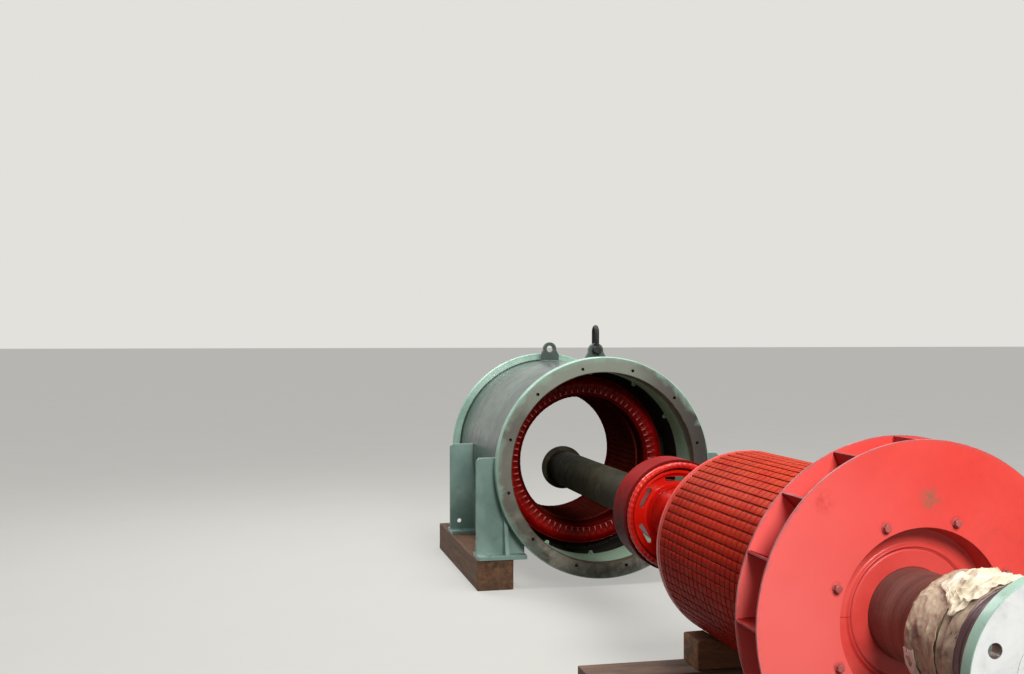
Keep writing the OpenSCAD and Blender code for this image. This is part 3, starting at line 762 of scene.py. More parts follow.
def winding_varnish():
    """Glossy deep red varnish over taped coils, with painted shade between the coils' noses and a painted
    highlight near their inner ends.
    """
    m = Shade("winding_varnish")
    r, a = m.polar(STATOR)[1:]
    m.tones(m.noise(9.0, 4.0, 0.6), (134, 9, 8), (162, 14, 11), (182, 26, 19))
    dirt = m.noise(22.0, 8.0, 0.7, 1.0)
    m.stain(dirt, 0.58, 0.8, 0.4, (80, 16, 12))
    along = m.math("COSINE", m.mul(m.sub(a, pi / 2), STATOR_SLOTS))
    band = m.mul(m.fit(r, 0.426, 0.434), m.fit(r, 0.446, 0.494, 1.0, 0.0))
    # Darker between the noses: painted shade.
    m.over(m.mul(band, m.fit(along, 0.1, 0.85, 0.65, 0.0)), (62, 6, 7))
    # Pale pink near the inner ends of the noses: painted highlight.
    nose = m.mul(m.fit(along, 0.72, 0.97), m.fit(r, 0.440, 0.462, 1.0, 0.0))
    m.over(m.mul(nose, band, 0.8), (236, 150, 140))
    m.bump(m.noise(46.0, 3.0, 0.5), 0.25, 0.0018)
    m.bump(m.noise(120.0, 3.0, 0.6), 0.12, 0.0008)
    return m.set(rough=m.fit(dirt, 0.3, 0.8, 0.2, 0.36), specular=0.04, coat=0.08, coat_rough=0.07)


def winding_throat():
    """Dull red on the inside of the end windings, the windings' varnish darkened as painted shade."""
    return paint("winding_throat", (70, 10, 9), (88, 13, 11), (104, 18, 14), rough=0.7, patch=6.0,
                 dirt=(54, 16, 12)).set(specular=0.0)


def tube_steel():
    """Greasy grey-brown steel of the extension tube."""
    m = Shade("tube_steel")
    m.tones(m.noise(5.0, 6.0, 0.65, 1.4), (30, 30, 22), (44, 42, 32), (60, 54, 42), (86, 78, 62),
            at=(0.28, 0.44, 0.58, 0.75))
    green = m.noise(11.0, 7.0, 0.7, 1.8)
    m.stain(green, 0.52, 0.7, 0.6, (46, 54, 38))
    lines = m.noise(1.0, 3.0, 0.6, along=(220.0, 2.0, 2.0))
    m.stain(lines, 0.42, 0.7, 0.3, (46, 42, 34))
    m.bump(lines, 0.3, 0.0008)
    m.bump(m.noise(40.0, 6.0, 0.7), 0.3, 0.0015)
    return m.set(rough=m.fit(green, 0.3, 0.8, 0.5, 0.7), specular=0.08)


def black_steel():
    """Forged steel of the shackle."""
    m = Shade("shackle_steel")
    tone = m.noise(30.0, 6.0, 0.7)
    m.tones(tone, (26, 26, 28), (44, 44, 46), (84, 76, 66), at=(0.3, 0.55, 0.75))
    m.bump(m.noise(90.0, 6.0, 0.7), 0.5, 0.0012)
    return m.set(rough=m.fit(tone, 0.3, 0.7, 0.42, 0.62), metal=0.6)


def bolt_paint():
    """Thin paint on the fan's bolts."""
    m = Shade("bolt_paint")
    m.colour = m.blend(m.fit(m.noise(60.0, 5.0, 0.6), 0.4, 0.7, 0.0, 0.7), (184, 92, 90), (132, 66, 64))
    m.bump(m.noise(200.0, 3.0), 0.2, 0.0005)
    return m.set(rough=0.4)


def timber(name, dark, base, light, along, end_dark=(46, 30, 20)):
    """Sawn timber: grain stretched along one direction, checks, oil stains, wear."""
    m = Shade(name)
    grain = m.noise(1.0, 6.0, 0.65, 0.8, along)
    m.tones(grain, dark, base, light, at=(0.28, 0.48, 0.70))
    fine = m.noise(4.0, 5.0, 0.7, 0.0, along)
    m.stain(fine, 0.45, 0.72, 0.5, dark)
    stain = m.noise(3.2, 6.0, 0.7, 1.4)
    m.stain(stain, 0.5, 0.72, 0.6, end_dark)
    m.over(m.mul(m.fit(m.noise(0.6, 3.0, 0.5, 0.4, along), 0.60, 0.66), 0.7), end_dark)
    m.bump(grain, 0.5, 0.002)
    m.bump(fine, 0.4, 0.001)
    return m.set(rough=m.fit(stain, 0.3, 0.8, 0.82, 0.62))


# Measures

ROTOR = axis_of("fan_front_disc")
COUPLING_FRONT, COUPLING_END = stretch(ROTOR, "coupling_half")
COLLAR_START = COUPLING_FRONT + 0.091
JOURNAL_END = stretch(ROTOR, "journal_wrap")[1]
CORE_START = stretch(ROTOR, "rotor_front_ring")[0]
BODY_START, BODY_END = stretch(ROTOR, "rotor_core")
CORE_END = stretch(ROTOR, "rotor_rear_ring")[1]
EXCITER_START, EXCITER_END = stretch(ROTOR, "exciter_wheel")
SHAFT_END = stretch(ROTOR, "shaft")[1]
TUBE_END = stretch(ROTOR, "extension_tube")[1] + 0.028
CORE_R = 0.385
FAN_R = 0.540
FAN_BOLT_R = 0.306
FAN_BOLT_TURNS = [rad(24.4 + 45 * k) for k in range(8)]

STATOR = axis_of("front_flange")
FRAME_LEN = stretch(STATOR, "rear_flange")[1]
REAR = Axis(STATOR.x - FRAME_LEN, STATOR.y, STATOR.z, -1)
FLANGE_T = stretch(STATOR, "front_flange")[1]
FLANGE_R = 0.660
FLANGE_BORE_R = 0.565
GUIDE_END = stretch(STATOR, "air_guide_ring")[1]
SHELL_R = 0.610
SEAT_R = SHELL_R + 0.0003
STACK_START, STACK_END = stretch(STATOR, "stator_core")
BORE_R = 0.3915
STATOR_SLOTS = 72
SLEEPER_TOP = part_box("sleeper_left")[1].z
EYE_DEPTH = 0.190
EYE_Z = STATOR.z + 0.693
ENDS = (("front", STATOR, STACK_START, FRONT), ("rear", REAR, FRAME_LEN - STACK_END, BACK))


# Camera, light and floor

VIEW_FROM = Vector((5.2625, -2.034, 1.480))
VIEW_ALONG = Vector((-0.9757, 0.2189, 0.0))
FOCAL_PIXELS = 1150
PHOTO_WIDTH = 1024


def aimed(name, data, at, along):
    """A camera or light that stands at a point and looks along a direction."""
    thing = bpy.data.objects.new(name, data)
    thing.location = at
    thing.rotation_euler = along.to_track_quat('-Z', 'Y').to_euler()
    scene.collection.objects.link(thing)
    return thing


def add_camera():
    data = bpy.data.cameras.new("camera")
    data.sensor_fit = 'HORIZONTAL'
    data.sensor_width = 36.0
    data.lens = FOCAL_PIXELS / PHOTO_WIDTH * data.sensor_width
    scene.camera = aimed("camera", data, VIEW_FROM, VIEW_ALONG)


def add_light(name, at, aim, size, power, colour):
    data = bpy.data.lights.new(name, 'AREA')
    data.shape = 'DISK'
    data.size = size
    data.energy = power
    data.color = colour
    aimed(name, data, at, Vector(aim) - Vector(at))


def seen_rays(tree):
    """1 for camera, glossy and transmission rays, 0 for the rays that light a surface."""
    ray = tree.nodes.new("ShaderNodeLightPath")
    value = ray.outputs["Is Camera Ray"]
    for kind in ("Is Glossy Ray", "Is Transmission Ray"):
        either = tree.nodes.new("ShaderNodeMath")
        either.operation = "MAXIMUM"
        tree.links.new(value, either.inputs[0])
        tree.links.new(ray.outputs[kind], either.inputs[1])
        value = either.outputs[0]
    return value


def add_world():
    """Soft dull light on the object, and the pale background wherever it is seen or mirrored."""
    scene.world = bpy.data.worlds.new("world")
    scene.world.use_nodes = True
    tree = scene.world.node_tree
    tree.nodes.clear()
    blend = tree.nodes.new("ShaderNodeMixShader")
    tree.links.new(seen_rays(tree), blend.inputs[0])
    for socket, colour, strength in ((1, (0.95, 0.97, 1.0, 1.0), 0.26), (2, srgb(226, 225, 220), 1.0)):
        sky = tree.nodes.new("ShaderNodeBackground")
        sky.inputs[0].default_value = colour
        sky.inputs[1].default_value = strength
        tree.links.new(sky.outputs[0], blend.inputs[socket])
    tree.links.new(blend.outputs[0], tree.nodes.new("ShaderNodeOutputWorld").inputs[0])


def add_floor():
    """Pale floor where it is seen or mirrored; it throws back the light of a dull floor."""
    m = Shade("floor")
    shown = seen_rays(m.tree)
    m.tones(m.noise(2.0, 3.0, 0.5), (202, 200, 195), (204, 202, 197), at=(0.3, 0.7))
    m.put(m.bsdf.inputs["Emission Color"], m.colour)
    m.put(m.bsdf.inputs["Emission Strength"], m.mul(shown, 0.68))
    m.colour = m.blend(shown, (74, 69, 60), (140, 139, 135))
    m.set(rough=0.9, specular=0.0)
    half = 150.0
    corners = [(-half, -half, 0), (half, -half, 0), (half, half, 0), (-half, half, 0)]
    mesh = bpy.data.meshes.new("floor")
    mesh.from_pydata(corners, [], [(0, 1, 2, 3)])
    mesh.materials.append(m.mat)
    thing = bpy.data.objects.new("floor", mesh)
    scene.collection.objects.link(thing)


# Rotor

def bolt_circle(count, r, first, size, n):
    """Round holes of a size, spread evenly on a circle of radius r."""
    turns = [first + TAU * k / count for k in range(count)]
    return [circle(r * cos(q), r * sin(q), size, n) for q in turns]


def coupling():
    """The coupling's disc with its bolt holes, and the grooved collar behind it."""
    b = Build()
    holes = bolt_circle(8, 0.213, rad(22.5), 0.018, 32)
    loops = [circle(0, 0, 0.268, 200), *holes, circle(0, 0, 0.1353, 128)]
    b.plate(place(ROTOR, s=COUPLING_FRONT), loops, 0, 0.039, 0.0022, (0, 1, 1, 2))
    start, inner, collar_r = COUPLING_FRONT + 0.0388, 0.1353, 0.202
    pitch = (COUPLING_END - COLLAR_START) / 5
    ring = [(start, inner), (start, 0.183), (COLLAR_START, 0.183), (COLLAR_START, collar_r)]
    for i in range(1, 5):
        groove = ((-0.004, 0.0), (-0.003, 0.005), (0.003, 0.005), (0.004, 0.0))
        ring += [(COLLAR_START + i * pitch + along, collar_r - deep) for along, deep in groove]
    ring += [(COUPLING_END, collar_r), (COUPLING_END, inner)]
    b.lathe(ROTOR, ring, 180, 0.0022, 2, slot=lambda s, r: 1 if s < COLLAR_START - 0.001 else 3)
    hole = turned_steel("bare_hole", (70, 66, 60), (112, 106, 98), (150, 146, 138), rings=160.0)
    collar = turned_steel("collar_steel", (52, 38, 42), (78, 58, 62), (122, 98, 100), rough=0.30, metal=0.4,
                          rings=320.0, depth=0.2)
    b.finish("coupling_half", FACE, MINT, hole, collar)


def shaft():
    """The shaft: bare with turned grooves from the journal to the core, red from there on."""
    b = Build()
    start, seat, tail, journal, body = COUPLING_FRONT + 0.004, COUPLING_END + 0.0003, 0.135, 0.180, 0.144
    line = [(start + 0.028, 0.004), (start + 0.010, 0.008), (start, 0.018), (start, 0.12), (start, 0.131),
            (start + 0.004, tail), (seat, tail), (seat, 0.176), (COUPLING_END + 0.004, journal),
            (JOURNAL_END - 0.004, journal), (JOURNAL_END, 0.176), (JOURNAL_END, body)]
    grooves = cycle(((0.0016, 0.0003, 0.014), (0.0028, 0.0009, 0.023), (0.0020, 0.0005, 0.017)))
    s = JOURNAL_END + 0.014
    while s < 0.060:
        wide, deep, gap = next(grooves)
        line += [(s + wide * x, body - deep * y) for x, y in ((-1, 0), (-0.4, 1), (0.4, 1), (1, 0))]
        s += gap
    line += [(CORE_START, body), (CORE_END, body), (CORE_END + 0.001, 0.142), (CORE_END + 0.001, tail),
             (EXCITER_START, tail), (SHAFT_END - 0.004, tail), (SHAFT_END, 0.131), (SHAFT_END, 0.010)]

    def part(s, r):
        if s < COUPLING_FRONT + 0.033 and r < 0.1338:
            return 2
        return 1 if s > CORE_START else 0
    b.lathe(ROTOR, line, 144, closed=False, slot=part)
    steel = turned_steel("shaft_steel", (98, 68, 60), (128, 94, 86), (176, 140, 130), rough=0.40, metal=0.1,
                         rings=160.0, depth=0.15)
    b.finish("shaft", steel, RED, FACE)


def wrap_radius(s, a, base, swell):
    """Crumpled paper: broad lumps, sharp folds and small wrinkles."""
    p = Vector((cos(a) * 1.1, sin(a) * 1.1, s * 6.0))
    fold = crease(p * 3.1 + Vector((4.0, 0.0, 1.0)), 2.6)
    small = crease(p * 8.0 + Vector((0.0, 7.0, 2.0)), 2.4)
    return base + swell * (0.40 * noise.noise(p * 1.6) + 0.42 * fold ** 2 + 0.22 * small ** 2)


def paper_layer(b, slot, ends, turn, base, swell, rows, ragged, seed, thick, lift):
    """One layer of paper with torn edges and its own thickness. ends(t) gives the two ends of
    its line number t of 0 to 1, turn its two angles and lift(s, a) what it stands off."""
    whole = turn[1] - turn[0] >= TAU - 1e-6
    cols = max(24, int((turn[1] - turn[0]) / TAU * 240))
    outer, inner = [], []
    for i in range(rows + 1):
        w = i / rows
        near = max(0.0, 1 - min(w, 1 - w) * 5)
        polar = []
        for j in range(cols if whole else cols + 1):
            t = j / cols
            edge = 0.0 if whole else max(0.0, 1 - min(t, 1 - t) * 4)
            edge *= ragged * 5 * noise.noise(Vector((w * 5, seed, 1.0 if t < 0.5 else 6.0)))
            a = turn[0] + (turn[1] - turn[0]) * t + edge
            tear = abs(ragged * noise.noise(Vector((cos(a) * 4, sin(a) * 4, seed + (0 if w < 0.5 else 9)))))
            first, last = ends(t)
            s = first + (last - first) * w + (tear if w < 0.5 else -tear) * near
            polar.append((s, wrap_radius(s + seed, a, base, swell) + lift(s, a), a))
        outer.append(b.add([ROTOR(s, r, a) for s, r, a in polar]))
        inner.append(b.add([ROTOR(s, r - thick, a) for s, r, a in polar]))
    for pair in (outer, inner, [outer[0], inner[0]], [outer[-1], inner[-1]]):
        b.skin(pair, whole, slot)
    for k in () if whole else (0, -1):
        b.skin([[row[k] for row in layer] for layer in (outer, inner)], False, slot)


def wrap():
    """Paper round the journal: an under layer, a cover with a folded hem and a scrap, and as a
    piece of its own a band over the collar with a torn flap."""
    s0, s1, front = COUPLING_END + 0.0012, JOURNAL_END - 0.0012, -0.450
    flap_edge = ((48, -0.425, -0.300), (58, front, -0.250), (75, front, -0.236), (95, front - 0.002, -0.246),
                 (110, front, -0.262), (120, front, -0.250), (125, front + 0.004, -0.262),
                 (130, front + 0.010, -0.305), (137, front + 0.020, -0.335), (146, front + 0.040, -0.372))

    def over_collar(s):
        w = limited((COUPLING_END + 0.016 - s) / 0.014)
        return w * w * (3 - 2 * w)

    def hem(s, a):
        return 0.0060 * hump(s, -0.348, 0.009) + 0.003 * hump(s, s1 - 0.02, 0.012)

    def flap_ends(t):
        a = flap_edge[0][0] + (flap_edge[-1][0] - flap_edge[0][0]) * t
        for p, q in zip(flap_edge, flap_edge[1:]):
            if a <= q[0] + 1e-6:
                w = (a - p[0]) / (q[0] - p[0])
                return [low + (high - low) * w for low, high in zip(p[1:], q[1:])]

    def flap(s, a):
        up = hump(a, rad(92), rad(26)) * hump(s, -0.330, 0.060)
        fold = crease((s * 22 + a * 2, a * 4.0 - s * 10, 5.0), 3.0)
        fine = crease((s * 60 - a * 4, a * 9.0, 2.0), 2.6)
        return 0.0025 + 0.014 * over_collar(s) + 0.012 * up + (0.0060 + 0.008 * up) * fold + 0.0022 * fine

    def scrap(s, a):
        return 0.002 + 0.002 * crease((s * 30, a * 5.0, 8.0), 2.4)
    base = paper("wrap_paper", (146, 122, 92), (196, 174, 140), (232, 222, 200))
    cover = paper_cover("wrap_cover", (116, 98, 88), (182, 160, 138), (214, 196, 170))
    torn = paper_cover("wrap_torn", (190, 174, 138), (226, 214, 188), (242, 234, 216))
    clean = paper("wrap_scrap", (226, 222, 212), (240, 237, 230), (250, 248, 244))
    b = Build()
    paper_layer(b, 0, lambda t: (s0, s1), (0.0, TAU), 0.1830, 0.0045, 26, 0.004, 0.0, 0.0028,
                lambda s, a: 0.0)
    paper_layer(b, 1, lambda t: (-0.350, s1 - 0.010), (rad(-50), rad(262)), 0.1858, 0.0085, 52, 0.008, 3.0,
                0.0012, hem)
    paper_layer(b, 2, lambda t: (-0.250, s1), (rad(186), rad(238)), 0.1868, 0.004, 24, 0.010, 11.0,
                0.0008, scrap)
    b.finish("journal_wrap", base, cover, clean, sharp=32, weighted=False)
    b = Build()
    paper_layer(b, 0, lambda t: (front, -0.352), (0.0, TAU), 0.1880, 0.0035, 30, 0.005, 17.0, 0.0008,
                lambda s, a: 0.0145 * over_collar(s))
    flap_turn = rad(flap_edge[0][0]), rad(flap_edge[-1][0])
    paper_layer(b, 1, flap_ends, flap_turn, 0.1890, 0.006, 90, 0.006, 6.0, 0.0008, flap)
    b.finish("journal_wrap", cover, torn, sharp=32, weighted=False, own="journal_wrap_flap")


def fan():
    """The fan's two discs, its blades with their welds, and its bolts."""
    paints = fan_paint(), rim_paint()

    def disc_slot(s, r):
        return 1 if r > FAN_R - 0.0018 else 0

    def waver(s, r, a):
        swing = noise.noise(Vector((cos(a) * 1.4, sin(a) * 1.4, r * 3)))
        return 0.0010 * limited((r - 0.35) / 0.19) * swing, 0.0
    b = Build()
    steps = [0.300, 0.335, 0.365, 0.395, 0.425, 0.455, 0.485, 0.512]
    side = [0.275, *steps, FAN_R]
    size = [0.0015, *[0] * len(steps), 0.0015]
    b.lathe(ROTOR, [(0.0, r) for r in side] + [(0.008, r) for r in reversed(side)], 256, size * 2,
            slot=disc_slot, wave=waver)
    b.finish("fan_front_disc", *paints)
    b = Build()
    b.lathe(ROTOR, band(0.146, 0.154, 0.400, FAN_R), 256, 0.0015, slot=disc_slot)
    b.finish("fan_rear_disc", *paints)

    b = Build()
    for k in range(16):
        at = place(ROTOR, rad(91 + 22.5 * k))
        b.block(at, 0.345, 0.539, -0.004, 0.004, 0.008, 0.146, 0.0010)
        for side in (-1, 1):
            for low, w in ((0.350, 0.0095), (0.404, 0.1445)):
                b.bead(at(low, side * 0.0055, w), at(0.534, side * 0.0055, w), 0.0026, k + side)
    b.finish("fan_blades", blade_paint())

    b = Build()
    for k, a in enumerate(FAN_BOLT_TURNS):
        b.bolt(ROTOR(-0.0002, FAN_BOLT_R, a), FRONT, 0.0205, 0.0145, 0.4 * k, 0.0140)
        b.bolt(ROTOR(0.0222, FAN_BOLT_R, a), BACK, 0.0225, 0.0140, 0.7 * k, 0.0150)
    b.finish("fan_front_disc", bolt_paint(), own="fan_bolts")


def hub():
    """The fan's dished hub, with its bolting rim, the groove at its bore and the seam of its halves."""
    b = Build()
    ring = [(0.069, 0.1443), (0.069, 0.196), (0.073, 0.2000), (0.0718, 0.2006), (0.0718, 0.2030),
            (0.0690, 0.2036), (0.0650, 0.2090), (0.075, 0.2165), (0.075, 0.265), (0.008, 0.275),
            (0.008, 0.335), (0.022, 0.335), (0.022, 0.289), (0.089, 0.279), (0.089, 0.214), (0.103, 0.200),
            (0.187, 0.200), (0.187, 0.1443)]
    size = [0.002, 0.003, 0.001, 0, 0, 0.0012, 0.0028, 0.006, 0.007, 0.003, 0.002, 0.002, 0.006, 0.006,
            0.004, 0.004, 0.003, 0.002]
    fine = [rad(x * side) for x in (0.44, 0.52, 0.90) for side in (-1, 1)]
    angles = [TAU * i / 180 for i in range(180) if i not in (0, 90)]
    angles += [(middle + x) % TAU for middle in (0.0, pi) for x in fine]

    def groove(s, r):
        return 0.2002 < r < 0.2034 and s > 0.0705

    def seam(s, r, a):
        if groove(s, r):
            return -0.0026 * limited(2 * cos(a) + 0.6), 0.0
        off = min(abs(a - pi), a, TAU - a)
        return (0.004 if off < rad(0.48) and 0.2055 < r < 0.2745 and s < 0.082 else 0.0), 0.0
    b.lathe(ROTOR, ring, 0, size, slot=lambda s, r: int(groove(s, r) and s < 0.080), wave=seam,
            angles=sorted(angles))
    b.finish("fan_hub", hub_paint(), hub_groove_paint())


def packet(b, at, full, less, s0, s1, edge):
    """A packet of plates between two ducts, with its edges broken."""
    b.stack(at, [(less, s0), (full, s0 + edge), (full, s1 - edge), (less, s1)])


def rotor_core():
    """The rotor's teeth in packets, with a spacer through the ducts, and the wedges of its slots."""
    random.seed(41)
    teeth, first, pitch, duct = 70, 0.2552, 0.0426, 0.0030
    middles = [first + pitch * i for i in range(23)]
    spans = list(zip([BODY_START] + [m + duct for m in middles], [m - duct for m in middles] + [BODY_END]))
    half, foot, c, crown = pi * CORE_R / teeth - 0.0032, 0.3455, 0.0013, rad(89.5)
    b = Build()
    for k in range(teeth):
        at = place(ROTOR, crown - TAU * (k + 0.5) / teeth)
        lean = random.uniform(-0.0004, 0.0002)
        for s0, s1 in spans:
            top = CORE_R + lean + random.uniform(-0.0005, 0.0)
            shift = random.uniform(-0.0003, 0.0003)
            full = [(foot, half), (top - c, half), (top - 0.3 * c, half - 0.3 * c), (top, half - c)]
            less = [(foot, half - c), (top - 2 * c, half - c), (top - 1.6 * c, half - 1.3 * c),
                    (top - c, half - 2 * c)]
            packet(b, at, twofold(full, shift), twofold(less, shift), s0, s1, c)
        spacer = twofold([(foot, half - 0.001), (0.3828, half - 0.001)])
        b.stack(at, [(spacer, BODY_START + 0.001), (spacer, BODY_END - 0.001)], ends=False)
        low = 0.3812 + random.uniform(-0.0005, 0.0005)
        wedge = twofold([(foot, 0.0047), (low - 0.001, 0.0047), (low, 0.0035)])
        for s0, s1 in spans:
            b.stack(place(ROTOR, crown - TAU * k / teeth), [(wedge, s0 - 0.001), (wedge, s1 + 0.001)], 1)
    b.lathe(ROTOR, band(BODY_START, BODY_END, 0.235, 0.3460), 140, slot=1)
    b.finish("rotor_core", core_paint(), slot_varnish(), sharp=40, weighted=False)


def end_rings():
    """The rotor's smooth front end ring, and its rear one with a groove, a recess and bolts."""
    b = Build()
    b.lathe(ROTOR, band(CORE_START, BODY_START, 0.235, CORE_R), 200, [0.002, 0.010, 0.002, 0.001], 6)
    b.finish("rotor_front_ring", RED)

    b = Build()
    edge = ((0.0, 0.001), (0.010, 0.001), (0.0115, 0.003), (0.0145, 0.003), (0.016, 0.0))
    face = ((0.0, CORE_R), (0.0, 0.352), (0.005, 0.349), (0.005, 0.262), (0.0, 0.258), (0.0, 0.235))
    ring = [(BODY_END, 0.235), *[(BODY_END + s, CORE_R - deep) for s, deep in edge],
            *[(CORE_END - s, r) for s, r in face]]
    b.lathe(ROTOR, ring, 200, [0.001, 0.002, 0.001, 0.001, 0.001, 0.002, 0.010] + [0.002] * 5)
    for k in range(24):
        b.bolt(ROTOR(CORE_END - 0.0052, 0.305, TAU * k / 24), BACK, 0.020, 0.0085, k * 0.5, 0.014)
    b.finish("rotor_rear_ring", gloss_red("end_ring_red", (178, 20, 14), (210, 34, 22), (226, 62, 44)))


def spider():
    """The sleeve on the shaft and the six welded arms that carry the core."""
    b = Build()
    s0, s1 = CORE_START + 0.0003, CORE_END - 0.0003
    b.lathe(ROTOR, band(s0, s1, 0.1443, 0.175), 120, 0.003)
    for k in range(6):
        at = place(ROTOR, rad(90 + 60 * k))
        b.block(at, 0.172, 0.2341, -0.015, 0.015, s0, s1, 0.003)
        for side in (-1, 1):
            for w in (s0 + 0.0005, s1 - 0.0005):
                b.bead(at(0.178, side * 0.016, w), at(0.232, side * 0.016, w), 0.003, k)
    b.finish("rotor_spider", RED)


def coil_ring(b, axis, profile, coils, places, depth, lump, sharp, middle, turn=0.0, twist=lambda s: 0.0,
              slot=0):
    """A wound ring whose surface swells into one ridge for each coil. depth(s, r) is the height
    of a ridge, twist(s) its angle, and places are the parts of a pitch, counted from the ridge,
    at which the surface has points."""
    def ridge(s, r, a):
        t = coils * (a - turn - twist(s)) / TAU
        valley = 1.0 - (0.5 - 0.5 * cos(TAU * t)) ** sharp
        away = Vector((middle[0] - s, middle[1] - r)).normalized()
        return away * (depth(s, r) * valley - lump * noise.noise(Vector((round(t) * 1.7, s * 60, r * 60))))
    angles = [turn + TAU * (k + 0.5 + part) / coils for k in range(coils) for part in places]
    b.lathe(axis, profile, slot=slot, wave=ridge, angles=angles)


def exciter():
    """The exciter's wound drum, the noses of its coils at both ends, and its wheel."""
    b = Build()
    b.lathe(ROTOR, band(EXCITER_START, EXCITER_END, 0.2163, 0.266), 200, [0.001, 0.003, 0.003, 0.001], 4)
    b.finish("exciter_core", exciter_paint())

    noses = gloss_red("coil_red", (176, 16, 10), (206, 26, 15), (222, 42, 26), coat=0.5)
    for end, near, way in (("front", EXCITER_START - 0.0003, -1), ("rear", EXCITER_END + 0.0003, 1)):
        b = Build()
        side = ((0.0, 0.226), (0.0, 0.2545), (0.016, 0.2555), (0.026, 0.2535), (0.032, 0.246),
                (0.032, 0.236), (0.026, 0.2275), (0.016, 0.2262))
        profile = fillet([(near + way * s, r) for s, r in side], 0.005)
        coil_ring(b, ROTOR, profile, 60, [i / 10 - 0.5 for i in range(10)], lambda s, r: 0.0014, 0.0009, 1.6,
                  (near + way * 0.016, 0.241), twist=lambda s: 0.9 * (s - near) * way)
        b.finish(f"exciter_{end}_coils", noses, sharp=60, weighted=False)

    b = Build()
    long, wide, web_r = 0.040, 0.0108, 0.170
    ends = [(pi * i / 10, long) for i in range(11)] + [(pi + pi * i / 10, -long) for i in range(11)]
    slots = []
    for k in range(6):
        flat = place(Axis(0, 0, 0), rad(90 - 60 * k))
        outline = [flat(web_r + wide * cos(q), middle + wide * sin(q), 0) for q, middle in ends]
        slots.append([(p.y, p.z) for p in outline])
    loops = [circle(0, 0, 0.204, 160), *slots, circle(0, 0, 0.150, 120)]
    b.plate(place(ROTOR, s=EXCITER_START + 0.034), loops, 0, 0.014, 0.0022)
    b.lathe(ROTOR, band(EXCITER_START, EXCITER_END, 0.202, 0.2160), 180, [0.003, 0.002, 0.002, 0.003], 4)
    parts = [i / 8 for i in range(9)]
    flare = [(EXCITER_START + 0.036 * (1 - (1 - t) ** 2), 0.1375 + 0.0205 * t ** 2) for t in parts]
    ring = [(EXCITER_START, 0.1353), *flare, (EXCITER_START + 0.050, 0.158), (EXCITER_START + 0.060, 0.154),
            (EXCITER_END, 0.154), (EXCITER_END, 0.1353)]
    b.lathe(ROTOR, ring, 150, [0.001] + [0] * 9 + [0.003, 0.006, 0.005, 0.001], 4)
    b.finish("exciter_wheel", gloss_red("wheel_red", (196, 16, 10), (222, 28, 16), (232, 46, 28)))


def extension_tube():
    """The tube bolted to the shaft's rear end, a little dented, and its cap."""
    steel = tube_steel()
    start, tube_r, plug = SHAFT_END + 0.0003, 0.110, TUBE_END - 0.028
    line = [(start, 0.010), (start, 0.131), (start + 0.028, 0.131), (start + 0.028, 0.116),
            (start + 0.036, tube_r)]
    s = start + 0.06
    while s < TUBE_END - 0.07:
        line.append((s, tube_r))
        s += 0.06
    line += [(plug - 0.012, tube_r), (plug, tube_r), (plug, 0.096), (plug, 0.010)]

    def dent(s, r, a):
        if abs(r - tube_r) > 0.0001:
            return 0.0, 0.0
        return 0.0, 0.0008 * noise.noise(Vector((s * 4, cos(a) * 2, sin(a) * 2))) - 0.0006
    b = Build()
    b.lathe(ROTOR, line, 120, [0, 0.003, 0.003, 0.003] + [0] * (len(line) - 4), closed=False, wave=dent)
    for k in range(8):
        b.bolt(ROTOR(start + 0.0281, 0.1205, TAU * (k + 0.5) / 8), BACK, 0.0135, 0.009, k)
    b.finish("extension_tube", steel)

    b = Build()
    start, face = TUBE_END - 0.0277, TUBE_END - 0.003
    line = [(start, 0.010), (start, 0.137), (TUBE_END, 0.137), (TUBE_END, 0.118), (face, 0.116),
            (face, 0.05), (face, 0.012)]
    b.lathe(ROTOR, line, 120, [0, 0.002, 0.004, 0.001, 0.001, 0, 0], 4, closed=False)
    b.finish("tube_cap", steel)


# Stator

def flanges():
    """The frame's two flanges with their tapped holes, painted rim and turned bore."""
    steel, bore = flange_steel(), bore_steel()
    rim = mint("flange_paint", (140, 174, 158), (168, 204, 186), (190, 220, 204))
    thread = turned_steel("tapped_hole", (40, 36, 32), (70, 64, 58), (104, 98, 90), rings=900.0, depth=0.6)
    hole_r, first = 0.600, rad(13.0)
    holes = bolt_circle(12, hole_r, first, 0.010, 24)
    edge = ((0.0, 0.0075), (0.0005, 0.0055), (0.006, 0.0004), (0.008, 0.0), (FLANGE_T - 0.003, 0.0),
            (FLANGE_T, 0.003), (FLANGE_T, 0.0075))
    inner = ((0.0, 0.0055), (0.0, 0.002), (0.002, 0.0), (FLANGE_T - 0.001, 0.0), (FLANGE_T, 0.001),
             (FLANGE_T, 0.0055))
    wall = band(0.0035, 0.0275, 0.00995, 0.0090)
    for end, axis, *_ in ENDS:
        b = Build()
        loops = [circle(0, 0, FLANGE_R - 0.006, 220), circle(0, 0, FLANGE_BORE_R + 0.004, 200), *holes]
        b.plate(place(axis), loops, 0, FLANGE_T, 0.0012, (0, 0, 1, 0), 0.034)
        b.lathe(axis, [(s, FLANGE_R - deep) for s, deep in edge], 220, slot=1)
        b.lathe(axis, [(s, FLANGE_BORE_R + deep) for s, deep in inner], 200, slot=3)
        for k in range(12):
            b.lathe(Axis(*axis(0, hole_r, first + TAU * k / 12), axis.step), wall, 20, slot=2)
        b.finish(end + "_flange", steel, rim, thread, bore)


